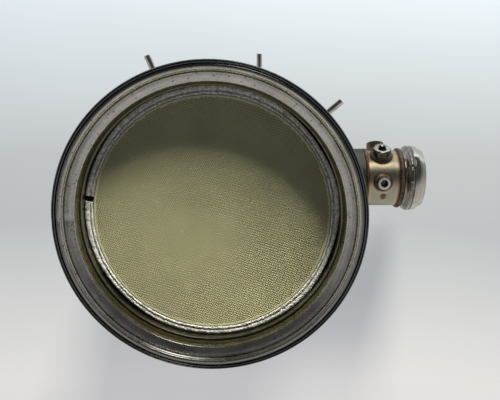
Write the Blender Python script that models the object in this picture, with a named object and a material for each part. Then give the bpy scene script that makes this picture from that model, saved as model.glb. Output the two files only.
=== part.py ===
"""Diesel particulate filter module, as separate parts at real size.

The filter stands on its rear end cap. Z runs along the filter's axis, up to
the open inlet. X runs along the outlet pipe. The origin is the middle of the
end cap's flat rear face. All lengths are in metres.
"""

import math

import bmesh
import bpy
from mathutils import Matrix, Vector

# Gap between pieces that touch, and how far a cutter runs past what it cuts
CLEARANCE = 0.0003
CUT_REACH = 0.001

# Filter block
BLOCK_DIAMETER = 0.2413
BLOCK_LENGTH = 0.1778
BLOCK_EDGE_CHAMFER = 0.0008
BLOCK_SETBACK = 0.0092

# Open cells of the block's front face, sunk in a coarser checkerboard than the ceramic's own
CELL_PITCH = 0.0145
CELL_WALL = 0.0020
CELL_DEPTH = 0.0012
CELL_MARGIN = 0.0030
CELL_TURN = math.radians(28.8)

# Fibre mat with its tongue joint, and the shell round it
MAT_THICKNESS = 0.0086
MAT_PROUD = 0.0006
MAT_JOINT_WIDTH = 0.0050
MAT_JOINT_STEP = 0.030
MAT_JOINT_ANGLE = math.radians(172.6)
SHELL_WALL = 0.0015
SHELL_SETBACK = 0.0015
SHELL_TAIL = 0.007
SHELL_ABOVE_SPOUT = 0.0013

# Weld along the rolled shell
SEAM_WIDTH = 0.005
SEAM_HEIGHT = 0.0011
SEAM_EDGE = 0.0002
SEAM_ANGLE = math.radians(250)

# Ring that guards the mat's rear end
RING_SHEET = 0.0015
RING_LIP = 0.0047

# Inlet flange, a pressed ring with a beaded face
NECK_FLARE = 0.00235
NECK_CONE = 0.0125
NECK_LENGTH = 0.030
LIP_DEPTH = 0.0085
LIP_ROUNDING = 0.0012
STEP_WIDTH = 0.0090
STEP_BULGE = 0.0004
GROOVE_DEPTH = 0.0060
GROOVE_WIDTH = 0.0009
BEAD_WIDTH = 0.0058
BEAD_DROP = 0.0006
ROLL_GAP = 0.0002
ROLL_WIDTH = 0.0036
ROLL_HEIGHT = 0.0021
RIM_EDGE = 0.0050
FLANGE_SHEET = 0.0021

# Weld beads round the body
BODY_BEAD_HEIGHT = 0.0024
BODY_BEAD_LENGTH = 0.0040

# Outlet chamber behind the block
CHAMBER_WALL = 0.0020
CHAMBER_OVERLAP = 0.0235
CHAMBER_SEAT = 0.001

# Rear end cap
CAP_SHEET = 0.0020
CAP_KNUCKLE = 0.026
CAP_SKIRT = 0.010
CAP_BEAD_INSET = 0.0575
CAP_BEAD_WIDTH = 0.016
CAP_BEAD_DEPTH = 0.0032

# Outlet pipe
PIPE_DIAMETER = 0.0762
PIPE_WALL = 0.0018
PIPE_INSERTION = 0.018
PIPE_EXPOSED = 0.0482

# Drawn spout between the chamber and the pipe
SPOUT_WALL = 0.0018
SPOUT_FLARE = 0.0058
SPOUT_FOOT_GAP = 0.011
SPOUT_BASE_LENGTH = 0.01035
SPOUT_TAPER = 0.034
SPOUT_COLLAR = 0.0125
SADDLE_BEAD_RADIUS = 0.0030

# Weld between the spout and the pipe, and between the pipe and its flange
SPOUT_BEAD_LENGTH = 0.0034
SPOUT_BEAD_HEIGHT = 0.0024
FLANGE_BEAD_LENGTH = 0.0062
FLANGE_BEAD_HEIGHT = 0.0030

# Machined outlet flange
FLANGE_NECK = 0.0052
FLANGE_NECK_SWELL = 0.0011
FLANGE_RISE = 0.0066
FLANGE_CONE = 0.0038
FLANGE_RIDGE = 0.0055
FLANGE_SLOT_WIDTH = 0.0009
FLANGE_SLOT_DEPTH = 0.0013
FLANGE_BAND = 0.0068
FLANGE_BAND_TAPER = 0.0035
FLANGE_NOSE = 0.0083
FLANGE_FACE_WIDTH = 0.0019
FLANGE_MOUTH = 0.0005

# Bosses on the outlet pipe, by their place past the spout and their turn or spacing
BOSS_PLACE = 0.0220
SENSOR_BOSS_FLATS = 0.0210
SENSOR_BOSS_HEIGHT = 0.0124
SENSOR_BOSS_BORE = 0.0108
SENSOR_BOSS_CHAMFER = 0.0014
SENSOR_BOSS_CORNER = 0.0004
HEXAGON_TURN = math.radians(20)
FRONT_BOSS_TURN = math.radians(61)
BOSS_SPACING = 0.0339
REAR_BOSS_PLACE = 0.0201
PORT_DIAMETER = 0.0170
PORT_HEIGHT = 0.0100
PORT_BORE = 0.0072
PORT_COUNTERSINK = 0.0010
BOSS_BEAD_WIDTH = 0.0036
BOSS_BEAD_HEIGHT = 0.0042
PORT_BEAD_WIDTH = 0.0036
PORT_BEAD_HEIGHT = 0.0034
NIB_PLACE = 0.0243
NIB_TURN = math.radians(-32)
NIB_RADIUS = 0.0044
NIB_HEIGHT = 0.0010
NIB_DIMPLE = 0.0026

# Three plain pins welded to the shell
PIN_DIAMETER = 0.0070
MIDDLE_PIN_DIAMETER = 0.0058
PIN_DROP = 0.0225
PIN_CHAMFER = 0.0007
PIN_FOOT_WIDTH = 0.0034
PIN_FOOT_HEIGHT = 0.0030
LEFT_PIN_TURN = math.radians(113.3)
LEFT_PIN_LENGTH = 0.0417
RIGHT_PIN_TURN = math.radians(40.1)
RIGHT_PIN_LENGTH = 0.0435
MIDDLE_PIN_OFFSET = 0.0477
MIDDLE_PIN_LENGTH = 0.0382

# Facets of the round pieces
BODY_STEPS = 56
PIPE_STEPS = 36
SMALL_STEPS = 16
SADDLE_BEAD_SIDES = 6

# Radii of the body, outwards from the block
BLOCK_RADIUS = BLOCK_DIAMETER / 2
MAT_INNER = BLOCK_RADIUS + CLEARANCE
MAT_OUTER = MAT_INNER + MAT_THICKNESS
SHELL_INNER = MAT_OUTER + CLEARANCE
SHELL_OUTER = SHELL_INNER + SHELL_WALL
NECK_INNER = SHELL_OUTER + CLEARANCE
LIP_RADIUS = NECK_INNER + NECK_FLARE
GROOVE_RADIUS = LIP_RADIUS + STEP_WIDTH
BEAD_INNER = GROOVE_RADIUS + GROOVE_WIDTH
ROLL_INNER = BEAD_INNER + BEAD_WIDTH + ROLL_GAP
RIM_RADIUS = ROLL_INNER + ROLL_WIDTH
CHAMBER_INNER = SHELL_OUTER + CLEARANCE
CHAMBER_OUTER = CHAMBER_INNER + CHAMBER_WALL
CAP_INNER = CHAMBER_OUTER + CLEARANCE
CAP_OUTER = CAP_INNER + CAP_SHEET

# Radii and places along the outlet
PIPE_RADIUS = PIPE_DIAMETER / 2
PIPE_BORE = PIPE_RADIUS - PIPE_WALL
REAR_BOSS_TURN = FRONT_BOSS_TURN + BOSS_SPACING / PIPE_RADIUS
SPOUT_RADIUS = PIPE_RADIUS + CLEARANCE + SPOUT_WALL
SPOUT_BASE_RADIUS = SPOUT_RADIUS + SPOUT_FLARE
SPOUT_BASE_END = CHAMBER_OUTER + SPOUT_BASE_LENGTH
SPOUT_NECK = SPOUT_BASE_END + SPOUT_TAPER
SPOUT_END = SPOUT_NECK + SPOUT_COLLAR
PIPE_START = SPOUT_END - PIPE_INSERTION
PIPE_END = SPOUT_END + PIPE_EXPOSED

# Heights, upwards from the rear end cap
CAP_TOP = CAP_KNUCKLE + CAP_SKIRT
PIPE_HEIGHT = CAP_TOP + SPOUT_FOOT_GAP + SPOUT_BASE_RADIUS
SHELL_BOTTOM = PIPE_HEIGHT + SPOUT_BASE_RADIUS - SPOUT_WALL + SHELL_ABOVE_SPOUT
CHAMBER_TOP = SHELL_BOTTOM + CHAMBER_OVERLAP
BLOCK_BOTTOM = SHELL_BOTTOM + SHELL_TAIL
BLOCK_TOP = BLOCK_BOTTOM + BLOCK_LENGTH
SHELL_TOP = BLOCK_TOP + BLOCK_SETBACK
CONE_FOOT = SHELL_TOP + SHELL_SETBACK
RIM_TOP = CONE_FOOT + NECK_CONE + LIP_DEPTH
NECK_BOTTOM = SHELL_TOP - NECK_LENGTH
PIN_HEIGHT = NECK_BOTTOM - PIN_DROP


def clear_scene():
    """Remove every object of the scene."""
    for thing in list(bpy.data.objects):
        bpy.data.objects.remove(thing, do_unlink=True)


def finish(name, colour, roughness, metallic):
    """Return a Principled material of one colour."""
    material = bpy.data.materials.new(name)
    material.use_nodes = True
    shader = material.node_tree.nodes["Principled BSDF"]
    shader.inputs["Base Color"].default_value = (*colour, 1.0)
    shader.inputs["Roughness"].default_value = roughness
    shader.inputs["Metallic"].default_value = metallic
    return material


def arc(middle, radii, start, end, count):
    """Return points along an elliptic arc, from the start angle to the end."""
    points = []
    for index in range(count + 1):
        angle = math.radians(start + (end - start) * index / count)
        across = middle[0] + radii[0] * math.cos(angle)
        along = middle[1] + radii[1] * math.sin(angle)
        points.append((across, along))
    return points


def blend(start, end, count):
    """Return points of a smooth S curve from one radius and height to another."""
    points = []
    for index in range(1, count):
        share = index / count
        ease = share * share * (3 - 2 * share)
        radius = start[0] + (end[0] - start[0]) * ease
        height = start[1] + (end[1] - start[1]) * share
        points.append((radius, height))
    return points


def add_object(name, mesh, material):
    """Put a mesh in the scene as a named object with one material."""
    thing = bpy.data.objects.new(name, mesh)
    bpy.context.scene.collection.objects.link(thing)
    mesh.materials.append(material)
    return thing


def shade(mesh):
    """Shade a mesh smooth, apart from its sharp edges."""
    mesh.shade_smooth()
    mesh.set_sharp_from_angle(angle=math.radians(32))


def turned(name, outline, steps, material, closed=True):
    """Turn an outline of radii and heights round the object's own Z axis.

    The outline runs down its outer side. A closed outline makes a ring, and
    an open one starts and ends on the axis or gets its thickness later.
    """
    mesh = bpy.data.meshes.new(name)
    count = len(outline)
    edges = [(index, index + 1) for index in range(count - 1)]
    if closed:
        edges.append((count - 1, 0))
    mesh.from_pydata([(radius, 0.0, height) for radius, height in outline], edges, [])
    thing = add_object(name, mesh, material)
    screw = thing.modifiers.new("Turn", "SCREW")
    screw.steps = steps
    screw.render_steps = steps
    screw.use_merge_vertices = True
    screw.merge_threshold = 0.00001
    screw.use_smooth_shade = True
    return thing


def add_wall(thing, thickness):
    """Give a turned sheet its thickness, on the inner side of its outline."""
    wall = thing.modifiers.new("Wall", "SOLIDIFY")
    wall.thickness = thickness
    wall.offset = -1.0
    wall.use_even_offset = True
    return thing


def along_pipe(thing):
    """Lay an object's own Z axis along the outlet pipe's axis."""
    thing.location = (0.0, 0.0, PIPE_HEIGHT)
    thing.rotation_euler = (0.0, math.radians(90), 0.0)
    return thing


def on_pipe(thing, place, turn):
    """Stand an object on the outlet pipe, by its place past the spout and its turn."""
    thing.location = (SPOUT_END + place, 0.0, PIPE_HEIGHT)
    thing.rotation_euler = (-turn, 0.0, 0.0)
    return thing


def as_cutter(name, mesh):
    """Put a mesh in the scene as a shape that only cuts other pieces."""
    thing = bpy.data.objects.new(name, mesh)
    bpy.context.scene.collection.objects.link(thing)
    thing.hide_render = True
    thing.display_type = "WIRE"
    return thing


def as_mesh(name, shape):
    """Turn a finished bmesh into a mesh of its own, with its faces outwards."""
    bmesh.ops.recalc_face_normals(shape, faces=shape.faces)
    mesh = bpy.data.meshes.new(name)
    shape.to_mesh(mesh)
    shape.free()
    return mesh


def cutter(name, radius, bottom, top, steps):
    """Return a cylinder on its own Z axis that only cuts other pieces."""
    shape = bmesh.new()
    place = Matrix.Translation((0.0, 0.0, (bottom + top) / 2))
    bmesh.ops.create_cone(shape, cap_ends=True, segments=steps, radius1=radius, radius2=radius,
                          depth=top - bottom, matrix=place)
    return as_cutter(name, as_mesh(name, shape))


def cut(thing, tool):
    """Subtract a cutter from an object."""
    boolean = thing.modifiers.new("Cut " + tool.name, "BOOLEAN")
    boolean.operation = "DIFFERENCE"
    boolean.solver = "EXACT"
    boolean.object = tool
    return thing


def block():
    """Make the ceramic filter block, with its edges broken and its front cells open."""
    edge = BLOCK_EDGE_CHAMFER
    outline = [
        (0.0, BLOCK_TOP),
        (BLOCK_RADIUS - edge, BLOCK_TOP),
        (BLOCK_RADIUS, BLOCK_TOP - edge),
        (BLOCK_RADIUS, BLOCK_BOTTOM + edge),
        (BLOCK_RADIUS - edge, BLOCK_BOTTOM),
        (0.0, BLOCK_BOTTOM),
    ]
    ceramic = finish("filter_ceramic", (0.30, 0.30, 0.20), 0.95, 0.0)
    thing = turned("filter_substrate", outline, BODY_STEPS, ceramic, closed=False)
    return cut(thing, open_cells())


def open_cells():
    """Return a cutter for every other square cell that lies whole on the block's face."""
    half = (CELL_PITCH - CELL_WALL) / 2
    limit = BLOCK_RADIUS - CELL_MARGIN
    count = math.ceil(BLOCK_RADIUS / CELL_PITCH)
    size = Vector((2 * half, 2 * half, 2 * CELL_DEPTH))
    turn = Matrix.Rotation(CELL_TURN, 4, "Z")
    shape = bmesh.new()
    for column in range(-count, count + 1):
        for row in range(-count, count + 1):
            centre = Vector((column * CELL_PITCH, row * CELL_PITCH, BLOCK_TOP))
            corner = math.hypot(abs(centre.x) + half, abs(centre.y) + half)
            if (column + row) % 2 == 0 and corner < limit:
                place = turn @ Matrix.Translation(centre) @ Matrix.Diagonal(size.to_4d())
                bmesh.ops.create_cube(shape, size=1.0, matrix=place)
    return as_cutter("open_cells_cutter", as_mesh("open_cells_cutter", shape))


def support_mat():
    """Make the fibre mat, wrapped round the block with a tongue joint."""
    bottom = BLOCK_BOTTOM
    top = BLOCK_TOP + MAT_PROUD
    outline = [(MAT_OUTER, top), (MAT_OUTER, bottom), (MAT_INNER, bottom), (MAT_INNER, top)]
    fibre = finish("mat_fibre", (0.48, 0.46, 0.42), 1.0, 0.0)
    mat = turned("support_mat", outline, BODY_STEPS, fibre)
    step = MAT_JOINT_STEP / MAT_OUTER
    third = (top - bottom) / 3
    lower = bottom + third
    upper = top - third
    cut(mat, mat_slit("mat_front_slit", MAT_JOINT_ANGLE, upper, top + third))
    cut(mat, mat_slit("mat_tongue_slit", MAT_JOINT_ANGLE + step, lower, upper + MAT_JOINT_WIDTH))
    cut(mat, mat_slit("mat_rear_slit", MAT_JOINT_ANGLE, bottom - third, lower + MAT_JOINT_WIDTH))
    cut(mat, mat_step("mat_upper_step", upper, step))
    cut(mat, mat_step("mat_lower_step", lower, step))
    return mat


def mat_slit(name, angle, low, high):
    """Return a cutter that slits the mat lengthwise between two heights."""
    size = Vector((2 * MAT_THICKNESS, MAT_JOINT_WIDTH, high - low))
    centre = Vector(((MAT_INNER + MAT_OUTER) / 2, 0.0, (low + high) / 2))
    turn = Matrix.Rotation(angle, 4, "Z")
    place = turn @ Matrix.Translation(centre) @ Matrix.Diagonal(size.to_4d())
    shape = bmesh.new()
    bmesh.ops.create_cube(shape, size=1.0, matrix=place)
    return as_cutter(name, as_mesh(name, shape))


def mat_step(name, height, step):
    """Return a cutter for the mat joint's run round the block at one height."""
    inner = MAT_INNER - MAT_THICKNESS / 2
    outer = MAT_OUTER + MAT_THICKNESS / 2
    top = height + MAT_JOINT_WIDTH
    shape = bmesh.new()
    corners = [(inner, height), (outer, height), (outer, top), (inner, top)]
    verts = [shape.verts.new(polar(radius, MAT_JOINT_ANGLE, level)) for radius, level in corners]
    face = shape.faces.new(verts)
    bmesh.ops.spin(shape, geom=[face], axis=(0, 0, 1), cent=(0, 0, 0), angle=step, steps=4)
    return as_cutter(name, as_mesh(name, shape))


def shell():
    """Make the rolled shell round the mat."""
    outline = [
        (SHELL_OUTER, SHELL_TOP),
        (SHELL_OUTER, SHELL_BOTTOM),
        (SHELL_INNER, SHELL_BOTTOM),
        (SHELL_INNER, SHELL_TOP),
    ]
    steel = finish("shell_steel", (0.36, 0.35, 0.32), 0.38, 1.0)
    return turned("filter_shell", outline, BODY_STEPS, steel)


def shell_seam():
    """Make the weld along the shell, a low bead between its two end rings."""
    count = 4
    radius = SHELL_OUTER + CLEARANCE
    half = SEAM_WIDTH / 2 / radius
    low = CHAMBER_TOP + BODY_BEAD_LENGTH + 2 * CLEARANCE
    high = NECK_BOTTOM - BODY_BEAD_LENGTH - 2 * CLEARANCE
    shape = bmesh.new()
    outer = []
    inner = []
    for index in range(count + 1):
        share = index / count
        angle = SEAM_ANGLE + half * (2 * share - 1)
        rise = SEAM_EDGE + SEAM_HEIGHT * math.sin(math.pi * share)
        outer.append(shape.verts.new(polar(radius + rise, angle, low)))
        inner.append(shape.verts.new(polar(radius, angle, low)))
    face = shape.faces.new(outer + inner[::-1])
    grown = bmesh.ops.extrude_face_region(shape, geom=[face])
    moved = [item for item in grown["geom"] if isinstance(item, bmesh.types.BMVert)]
    bmesh.ops.translate(shape, vec=(0.0, 0.0, high - low), verts=moved)
    mesh = as_mesh("shell_seam_weld", shape)
    shade(mesh)
    weld = finish("seam_weld", (0.20, 0.15, 0.11), 0.45, 0.9)
    return add_object("shell_seam_weld", mesh, weld)


def polar(radius, angle, height):
    """Return a point by its radius, its angle round Z and its height."""
    return Vector((radius * math.cos(angle), radius * math.sin(angle), height))


def retaining_ring():
    """Make the angle ring that keeps gas off the mat's rear end."""
    top = BLOCK_BOTTOM - CLEARANCE
    outer = SHELL_INNER - CLEARANCE
    inner = BLOCK_RADIUS - RING_LIP
    outline = [
        (outer, top),
        (outer, SHELL_BOTTOM),
        (outer - RING_SHEET, SHELL_BOTTOM),
        (outer - RING_SHEET, top - RING_SHEET),
        (inner, top - RING_SHEET),
        (inner, top),
    ]
    steel = finish("ring_steel", (0.33, 0.31, 0.28), 0.42, 1.0)
    return turned("mat_retaining_ring", outline, BODY_STEPS, steel)


def crest(inner, outer, foot, top):
    """Return a rounded ridge between two radii, with a narrow flat along its top."""
    rise = (top - foot) / math.sin(math.radians(72))
    return arc(((inner + outer) / 2, foot), ((outer - inner) / 2, rise), 180, 0, 5)


def inlet_flange():
    """Make the inlet flange: a rolled rim, a bead, a groove and a stepped throat."""
    valley = RIM_TOP - ROLL_HEIGHT
    groove = RIM_TOP - GROOVE_DEPTH
    lip = RIM_TOP - LIP_DEPTH
    middle = ((LIP_RADIUS + GROOVE_RADIUS) / 2 - STEP_BULGE / 2, (lip + groove) / 2 + STEP_BULGE)
    sheet = FLANGE_SHEET
    neck_outer = NECK_INNER + sheet
    outline = [
        (RIM_RADIUS, RIM_TOP - RIM_EDGE),
        (RIM_RADIUS - sheet, RIM_TOP - RIM_EDGE - sheet / 2),
        (GROOVE_RADIUS + sheet, groove - sheet),
        (LIP_RADIUS + sheet, lip - LIP_ROUNDING - sheet),
        (neck_outer, CONE_FOOT - sheet),
        (neck_outer, NECK_BOTTOM),
        (NECK_INNER, NECK_BOTTOM),
        (NECK_INNER, CONE_FOOT),
        (LIP_RADIUS - LIP_ROUNDING / 2, lip - LIP_ROUNDING),
        (LIP_RADIUS + LIP_ROUNDING, lip + LIP_ROUNDING),
        middle,
        (GROOVE_RADIUS - GROOVE_WIDTH, groove + GROOVE_WIDTH / 2),
        (GROOVE_RADIUS, groove),
    ]
    outline += crest(BEAD_INNER, BEAD_INNER + BEAD_WIDTH, valley, RIM_TOP - BEAD_DROP)
    outline += crest(ROLL_INNER, RIM_RADIUS, valley, RIM_TOP)
    steel = finish("flange_steel", (0.42, 0.41, 0.38), 0.35, 1.0)
    return turned("inlet_flange", outline, BODY_STEPS, steel)


def body_bead(name, radius, height, direction):
    """Make a fillet weld round the body, from a sheet's edge onto the wall it grips."""
    inner = radius + CLEARANCE
    reach = direction * BODY_BEAD_LENGTH
    base = height + direction * CLEARANCE
    outline = arc((inner, base), (BODY_BEAD_HEIGHT, reach), 0, 90, 2) + [(inner, base)]
    if direction > 0:
        outline.reverse()
    weld = finish(name + "_metal", (0.20, 0.15, 0.11), 0.45, 0.9)
    return turned(name, outline, BODY_STEPS, weld)


def outlet_chamber():
    """Make the ring behind the block, holed for the spout."""
    foot = CAP_KNUCKLE + CHAMBER_SEAT
    outline = [
        (CHAMBER_OUTER, CHAMBER_TOP),
        (CHAMBER_OUTER, foot),
        (CHAMBER_INNER, foot),
        (CHAMBER_INNER, CHAMBER_TOP),
    ]
    steel = finish("chamber_steel", (0.34, 0.33, 0.29), 0.42, 1.0)
    chamber = turned("outlet_chamber", outline, BODY_STEPS, steel)
    hole = cutter("spout_hole_cutter", SPOUT_BASE_RADIUS - SPOUT_WALL, 0.0, SPOUT_BASE_END,
                  PIPE_STEPS)
    return cut(chamber, along_pipe(hole))


def end_cap():
    """Make the dished rear cap, flat underneath with one pressed ring bead."""
    knuckle = (CAP_OUTER - CAP_KNUCKLE, CAP_KNUCKLE)
    inner = CAP_KNUCKLE - CAP_SHEET
    bead_flat = CAP_BEAD_WIDTH / 5
    bead = CAP_OUTER - CAP_BEAD_INSET
    bead_outer = bead + CAP_BEAD_WIDTH / 2
    bead_inner = bead - CAP_BEAD_WIDTH / 2
    bend = CAP_SHEET / 4
    outline = [
        (0.0, CAP_SHEET),
        (bead_inner - bend, CAP_SHEET),
        (bead - bead_flat - bend, CAP_BEAD_DEPTH + CAP_SHEET),
        (bead + bead_flat + bend, CAP_BEAD_DEPTH + CAP_SHEET),
        (bead_outer + bend, CAP_SHEET),
    ]
    outline += arc(knuckle, (inner, inner), -90, 0, 4)
    outline += [(CAP_INNER, CAP_TOP), (CAP_OUTER, CAP_TOP)]
    outline += arc(knuckle, (CAP_KNUCKLE, CAP_KNUCKLE), 0, -90, 4)
    outline += [
        (bead_outer, 0.0),
        (bead + bead_flat, CAP_BEAD_DEPTH),
        (bead - bead_flat, CAP_BEAD_DEPTH),
        (bead_inner, 0.0),
        (0.0, 0.0),
    ]
    steel = finish("cap_steel", (0.34, 0.33, 0.29), 0.42, 1.0)
    return turned("rear_end_cap", outline, BODY_STEPS, steel, closed=False)


def chamber_cutter():
    """Return the chamber's outer form with clearance, for pieces that sit on it."""
    return cutter("chamber_form_cutter", CHAMBER_OUTER + CLEARANCE, 0.0, RIM_TOP, BODY_STEPS)


def spout(chamber_form):
    """Make the drawn spout, from its saddle on the chamber to its collar."""
    neck = (SPOUT_RADIUS, SPOUT_NECK)
    base = (SPOUT_BASE_RADIUS, SPOUT_BASE_END)
    outline = [(SPOUT_RADIUS, SPOUT_END), neck]
    outline += blend(neck, base, 4)
    outline += [base, (SPOUT_BASE_RADIUS, CHAMBER_OUTER - SPOUT_BASE_RADIUS / 2)]
    steel = finish("spout_steel", (0.20, 0.21, 0.17), 0.5, 0.9)
    thing = turned("outlet_spout", outline, PIPE_STEPS, steel, closed=False)
    add_wall(thing, SPOUT_WALL)
    along_pipe(thing)
    return cut(thing, chamber_form)


def saddle_weld(chamber_form):
    """Make the bead along the saddle where the spout meets the chamber."""
    radius = SPOUT_BASE_RADIUS + SADDLE_BEAD_RADIUS / 3
    seat = CHAMBER_OUTER + SADDLE_BEAD_RADIUS / 3
    shape = bmesh.new()
    rings = []
    for index in range(PIPE_STEPS):
        angle = 2 * math.pi * (index + 0.5) / PIPE_STEPS
        outward = Vector((0.0, math.cos(angle), math.sin(angle)))
        reach = math.sqrt(seat ** 2 - (radius * outward.y) ** 2)
        middle = Vector((reach, 0.0, PIPE_HEIGHT)) + outward * radius
        ring = []
        for side in range(SADDLE_BEAD_SIDES):
            turn = 2 * math.pi * side / SADDLE_BEAD_SIDES
            offset = outward * math.cos(turn) + Vector((1.0, 0.0, 0.0)) * math.sin(turn)
            ring.append(shape.verts.new(middle + offset * SADDLE_BEAD_RADIUS))
        rings.append(ring)
    for index, ring in enumerate(rings):
        onward = rings[(index + 1) % PIPE_STEPS]
        for side in range(SADDLE_BEAD_SIDES):
            near = (side + 1) % SADDLE_BEAD_SIDES
            shape.faces.new((ring[side], ring[near], onward[near], onward[side]))
    mesh = as_mesh("spout_saddle_weld", shape)
    shade(mesh)
    weld = finish("saddle_weld", (0.18, 0.14, 0.11), 0.5, 0.9)
    thing = add_object("spout_saddle_weld", mesh, weld)
    base_form = cutter("spout_form_cutter", SPOUT_BASE_RADIUS + CLEARANCE, 0.0,
                       SPOUT_BASE_END, PIPE_STEPS)
    cut(thing, chamber_form)
    return cut(thing, along_pipe(base_form))


def outlet_pipe():
    """Make the outlet pipe, drilled under each boss."""
    outline = [
        (PIPE_RADIUS, PIPE_END),
        (PIPE_RADIUS, PIPE_START),
        (PIPE_BORE, PIPE_START),
        (PIPE_BORE, PIPE_END),
    ]
    steel = finish("pipe_steel", (0.50, 0.46, 0.37), 0.30, 1.0)
    pipe = along_pipe(turned("outlet_pipe", outline, PIPE_STEPS, steel))
    drills = [
        ("front_boss_drill", SENSOR_BOSS_BORE, BOSS_PLACE, FRONT_BOSS_TURN),
        ("rear_boss_drill", SENSOR_BOSS_BORE, REAR_BOSS_PLACE, REAR_BOSS_TURN),
        ("port_drill", PORT_BORE, BOSS_PLACE, 0.0),
    ]
    for name, bore, place, turn in drills:
        drill = cutter(name, bore / 2, PIPE_BORE / 2, PIPE_RADIUS + CUT_REACH, SMALL_STEPS)
        cut(pipe, on_pipe(drill, place, turn))
    return pipe


def pipe_bead(name, start, length, height, tint):
    """Make a weld bead round the outlet pipe."""
    inner = PIPE_RADIUS + CLEARANCE
    outline = [(inner, start + length)]
    outline += arc((inner, start + length / 2), (height, length / 2), 60, -60, 3)
    outline += [(inner, start)]
    weld = finish(name + "_metal", tint, 0.4, 0.9)
    return along_pipe(turned(name, outline, PIPE_STEPS, weld))


def outlet_flange():
    """Make the machined flange, turned in one piece with its weld neck."""
    start = PIPE_END + CLEARANCE
    bead_end = start + (FLANGE_BEAD_LENGTH + CLEARANCE) / 2
    ridge_start = start + FLANGE_NECK
    ridge_top = ridge_start + FLANGE_CONE
    slot = ridge_top + FLANGE_RIDGE
    band = slot + FLANGE_SLOT_WIDTH
    band_end = band + FLANGE_BAND
    face = band_end + FLANGE_NOSE
    neck = PIPE_RADIUS + FLANGE_NECK_SWELL
    rim = PIPE_RADIUS + FLANGE_RISE
    outline = [
        (PIPE_BORE + FLANGE_FACE_WIDTH, face),
        (rim - FLANGE_BAND_TAPER, band_end),
        (rim - FLANGE_SLOT_DEPTH / 4, band),
        (rim - FLANGE_SLOT_DEPTH, band),
        (rim - FLANGE_SLOT_DEPTH, slot),
        (rim, slot),
        (rim, ridge_top + FLANGE_CONE / 2),
        (rim - FLANGE_CONE / 4, ridge_top),
        (neck, ridge_start),
        (neck, bead_end),
        (PIPE_RADIUS, bead_end),
        (PIPE_RADIUS, start),
        (PIPE_BORE, start),
        (PIPE_BORE, face - FLANGE_MOUTH),
        (PIPE_BORE + FLANGE_MOUTH, face),
    ]
    steel = finish("machined_steel", (0.60, 0.58, 0.54), 0.18, 1.0)
    return along_pipe(turned("outlet_flange", outline, PIPE_STEPS, steel))


def pipe_form_cutter():
    """Return the pipe's outer form with clearance, for pieces that sit on it."""
    form = cutter("pipe_form_cutter", PIPE_RADIUS + CLEARANCE, SPOUT_END, PIPE_END, PIPE_STEPS)
    return along_pipe(form)


def saddle_foot(reach):
    """Return a level inside the pipe's wall at a distance from a boss's own axis."""
    return math.sqrt(PIPE_RADIUS ** 2 - reach ** 2) - 2 * CLEARANCE


def hexagon(flats, bottom, top):
    """Return the mesh data of an upright hexagonal prism, measured across its flats."""
    corner = flats / math.sqrt(3)
    middle = Matrix.Translation((0.0, 0.0, (top + bottom) / 2))
    shape = bmesh.new()
    bmesh.ops.create_cone(shape, cap_ends=True, segments=6, radius1=corner, radius2=corner,
                          depth=top - bottom, matrix=middle @ Matrix.Rotation(HEXAGON_TURN, 4, "Z"))
    return as_mesh("hexagon", shape)


def sensor_boss(name, place, turn, pipe_form):
    """Make a hexagonal threaded boss, saddled onto the pipe."""
    top = PIPE_RADIUS + SENSOR_BOSS_HEIGHT
    corner = SENSOR_BOSS_FLATS / math.sqrt(3)
    bottom = saddle_foot(corner)
    steel = finish(name + "_steel", (0.14, 0.10, 0.08), 0.45, 0.9)
    boss = on_pipe(add_object(name, hexagon(SENSOR_BOSS_FLATS, bottom, top), steel), place, turn)
    rounding = boss.modifiers.new("Rounded top", "BOOLEAN")
    rounding.operation = "INTERSECT"
    rounding.solver = "EXACT"
    rounding.object = on_pipe(boss_rounding(name, corner, bottom, top), place, turn)
    bore = cutter(name + "_bore", SENSOR_BOSS_BORE / 2, bottom - CUT_REACH, top + CUT_REACH,
                  SMALL_STEPS)
    cut(boss, on_pipe(bore, place, turn))
    return cut(boss, pipe_form)


def boss_rounding(name, corner, bottom, top):
    """Return the turned form that rounds a hexagon's corners off at its top."""
    full = corner - SENSOR_BOSS_CORNER
    flat = SENSOR_BOSS_FLATS / 2 - SENSOR_BOSS_CHAMFER / 2
    levels = [
        (full, bottom - CUT_REACH),
        (full, top - SENSOR_BOSS_CHAMFER),
        (flat, top),
    ]
    shape = bmesh.new()
    rings = []
    for radius, level in levels:
        made = bmesh.ops.create_circle(shape, segments=SMALL_STEPS, radius=radius,
                                       matrix=Matrix.Translation((0.0, 0.0, level)))
        rings.append(made["verts"])
    for index in range(len(levels) - 1):
        below = ring_edges(rings[index])
        above = ring_edges(rings[index + 1])
        bmesh.ops.bridge_loops(shape, edges=below + above)
    shape.faces.new(rings[0])
    shape.faces.new(rings[-1])
    return as_cutter(name + "_rounding", as_mesh(name + "_rounding", shape))


def ring_edges(verts):
    """Return the edges that run between the vertices of one ring."""
    members = set(verts)
    edges = set()
    for vert in verts:
        for edge in vert.link_edges:
            if edge.other_vert(vert) in members:
                edges.add(edge)
    return list(edges)


def boss_bead(name, place, turn, radii, height, pipe_form):
    """Make the weld ring round a boss's foot, between an inner and an outer radius."""
    inner, outer = radii
    outline = arc((inner, PIPE_RADIUS), (outer - inner, height), 90, 15, 3)
    edge = outline[-1][0]
    foot = saddle_foot(edge)
    outline += [(edge, foot), (inner, foot)]
    weld = finish(name + "_metal", (0.12, 0.08, 0.06), 0.5, 0.85)
    bead = on_pipe(turned(name, outline, SMALL_STEPS, weld), place, turn)
    return cut(bead, pipe_form)


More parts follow.
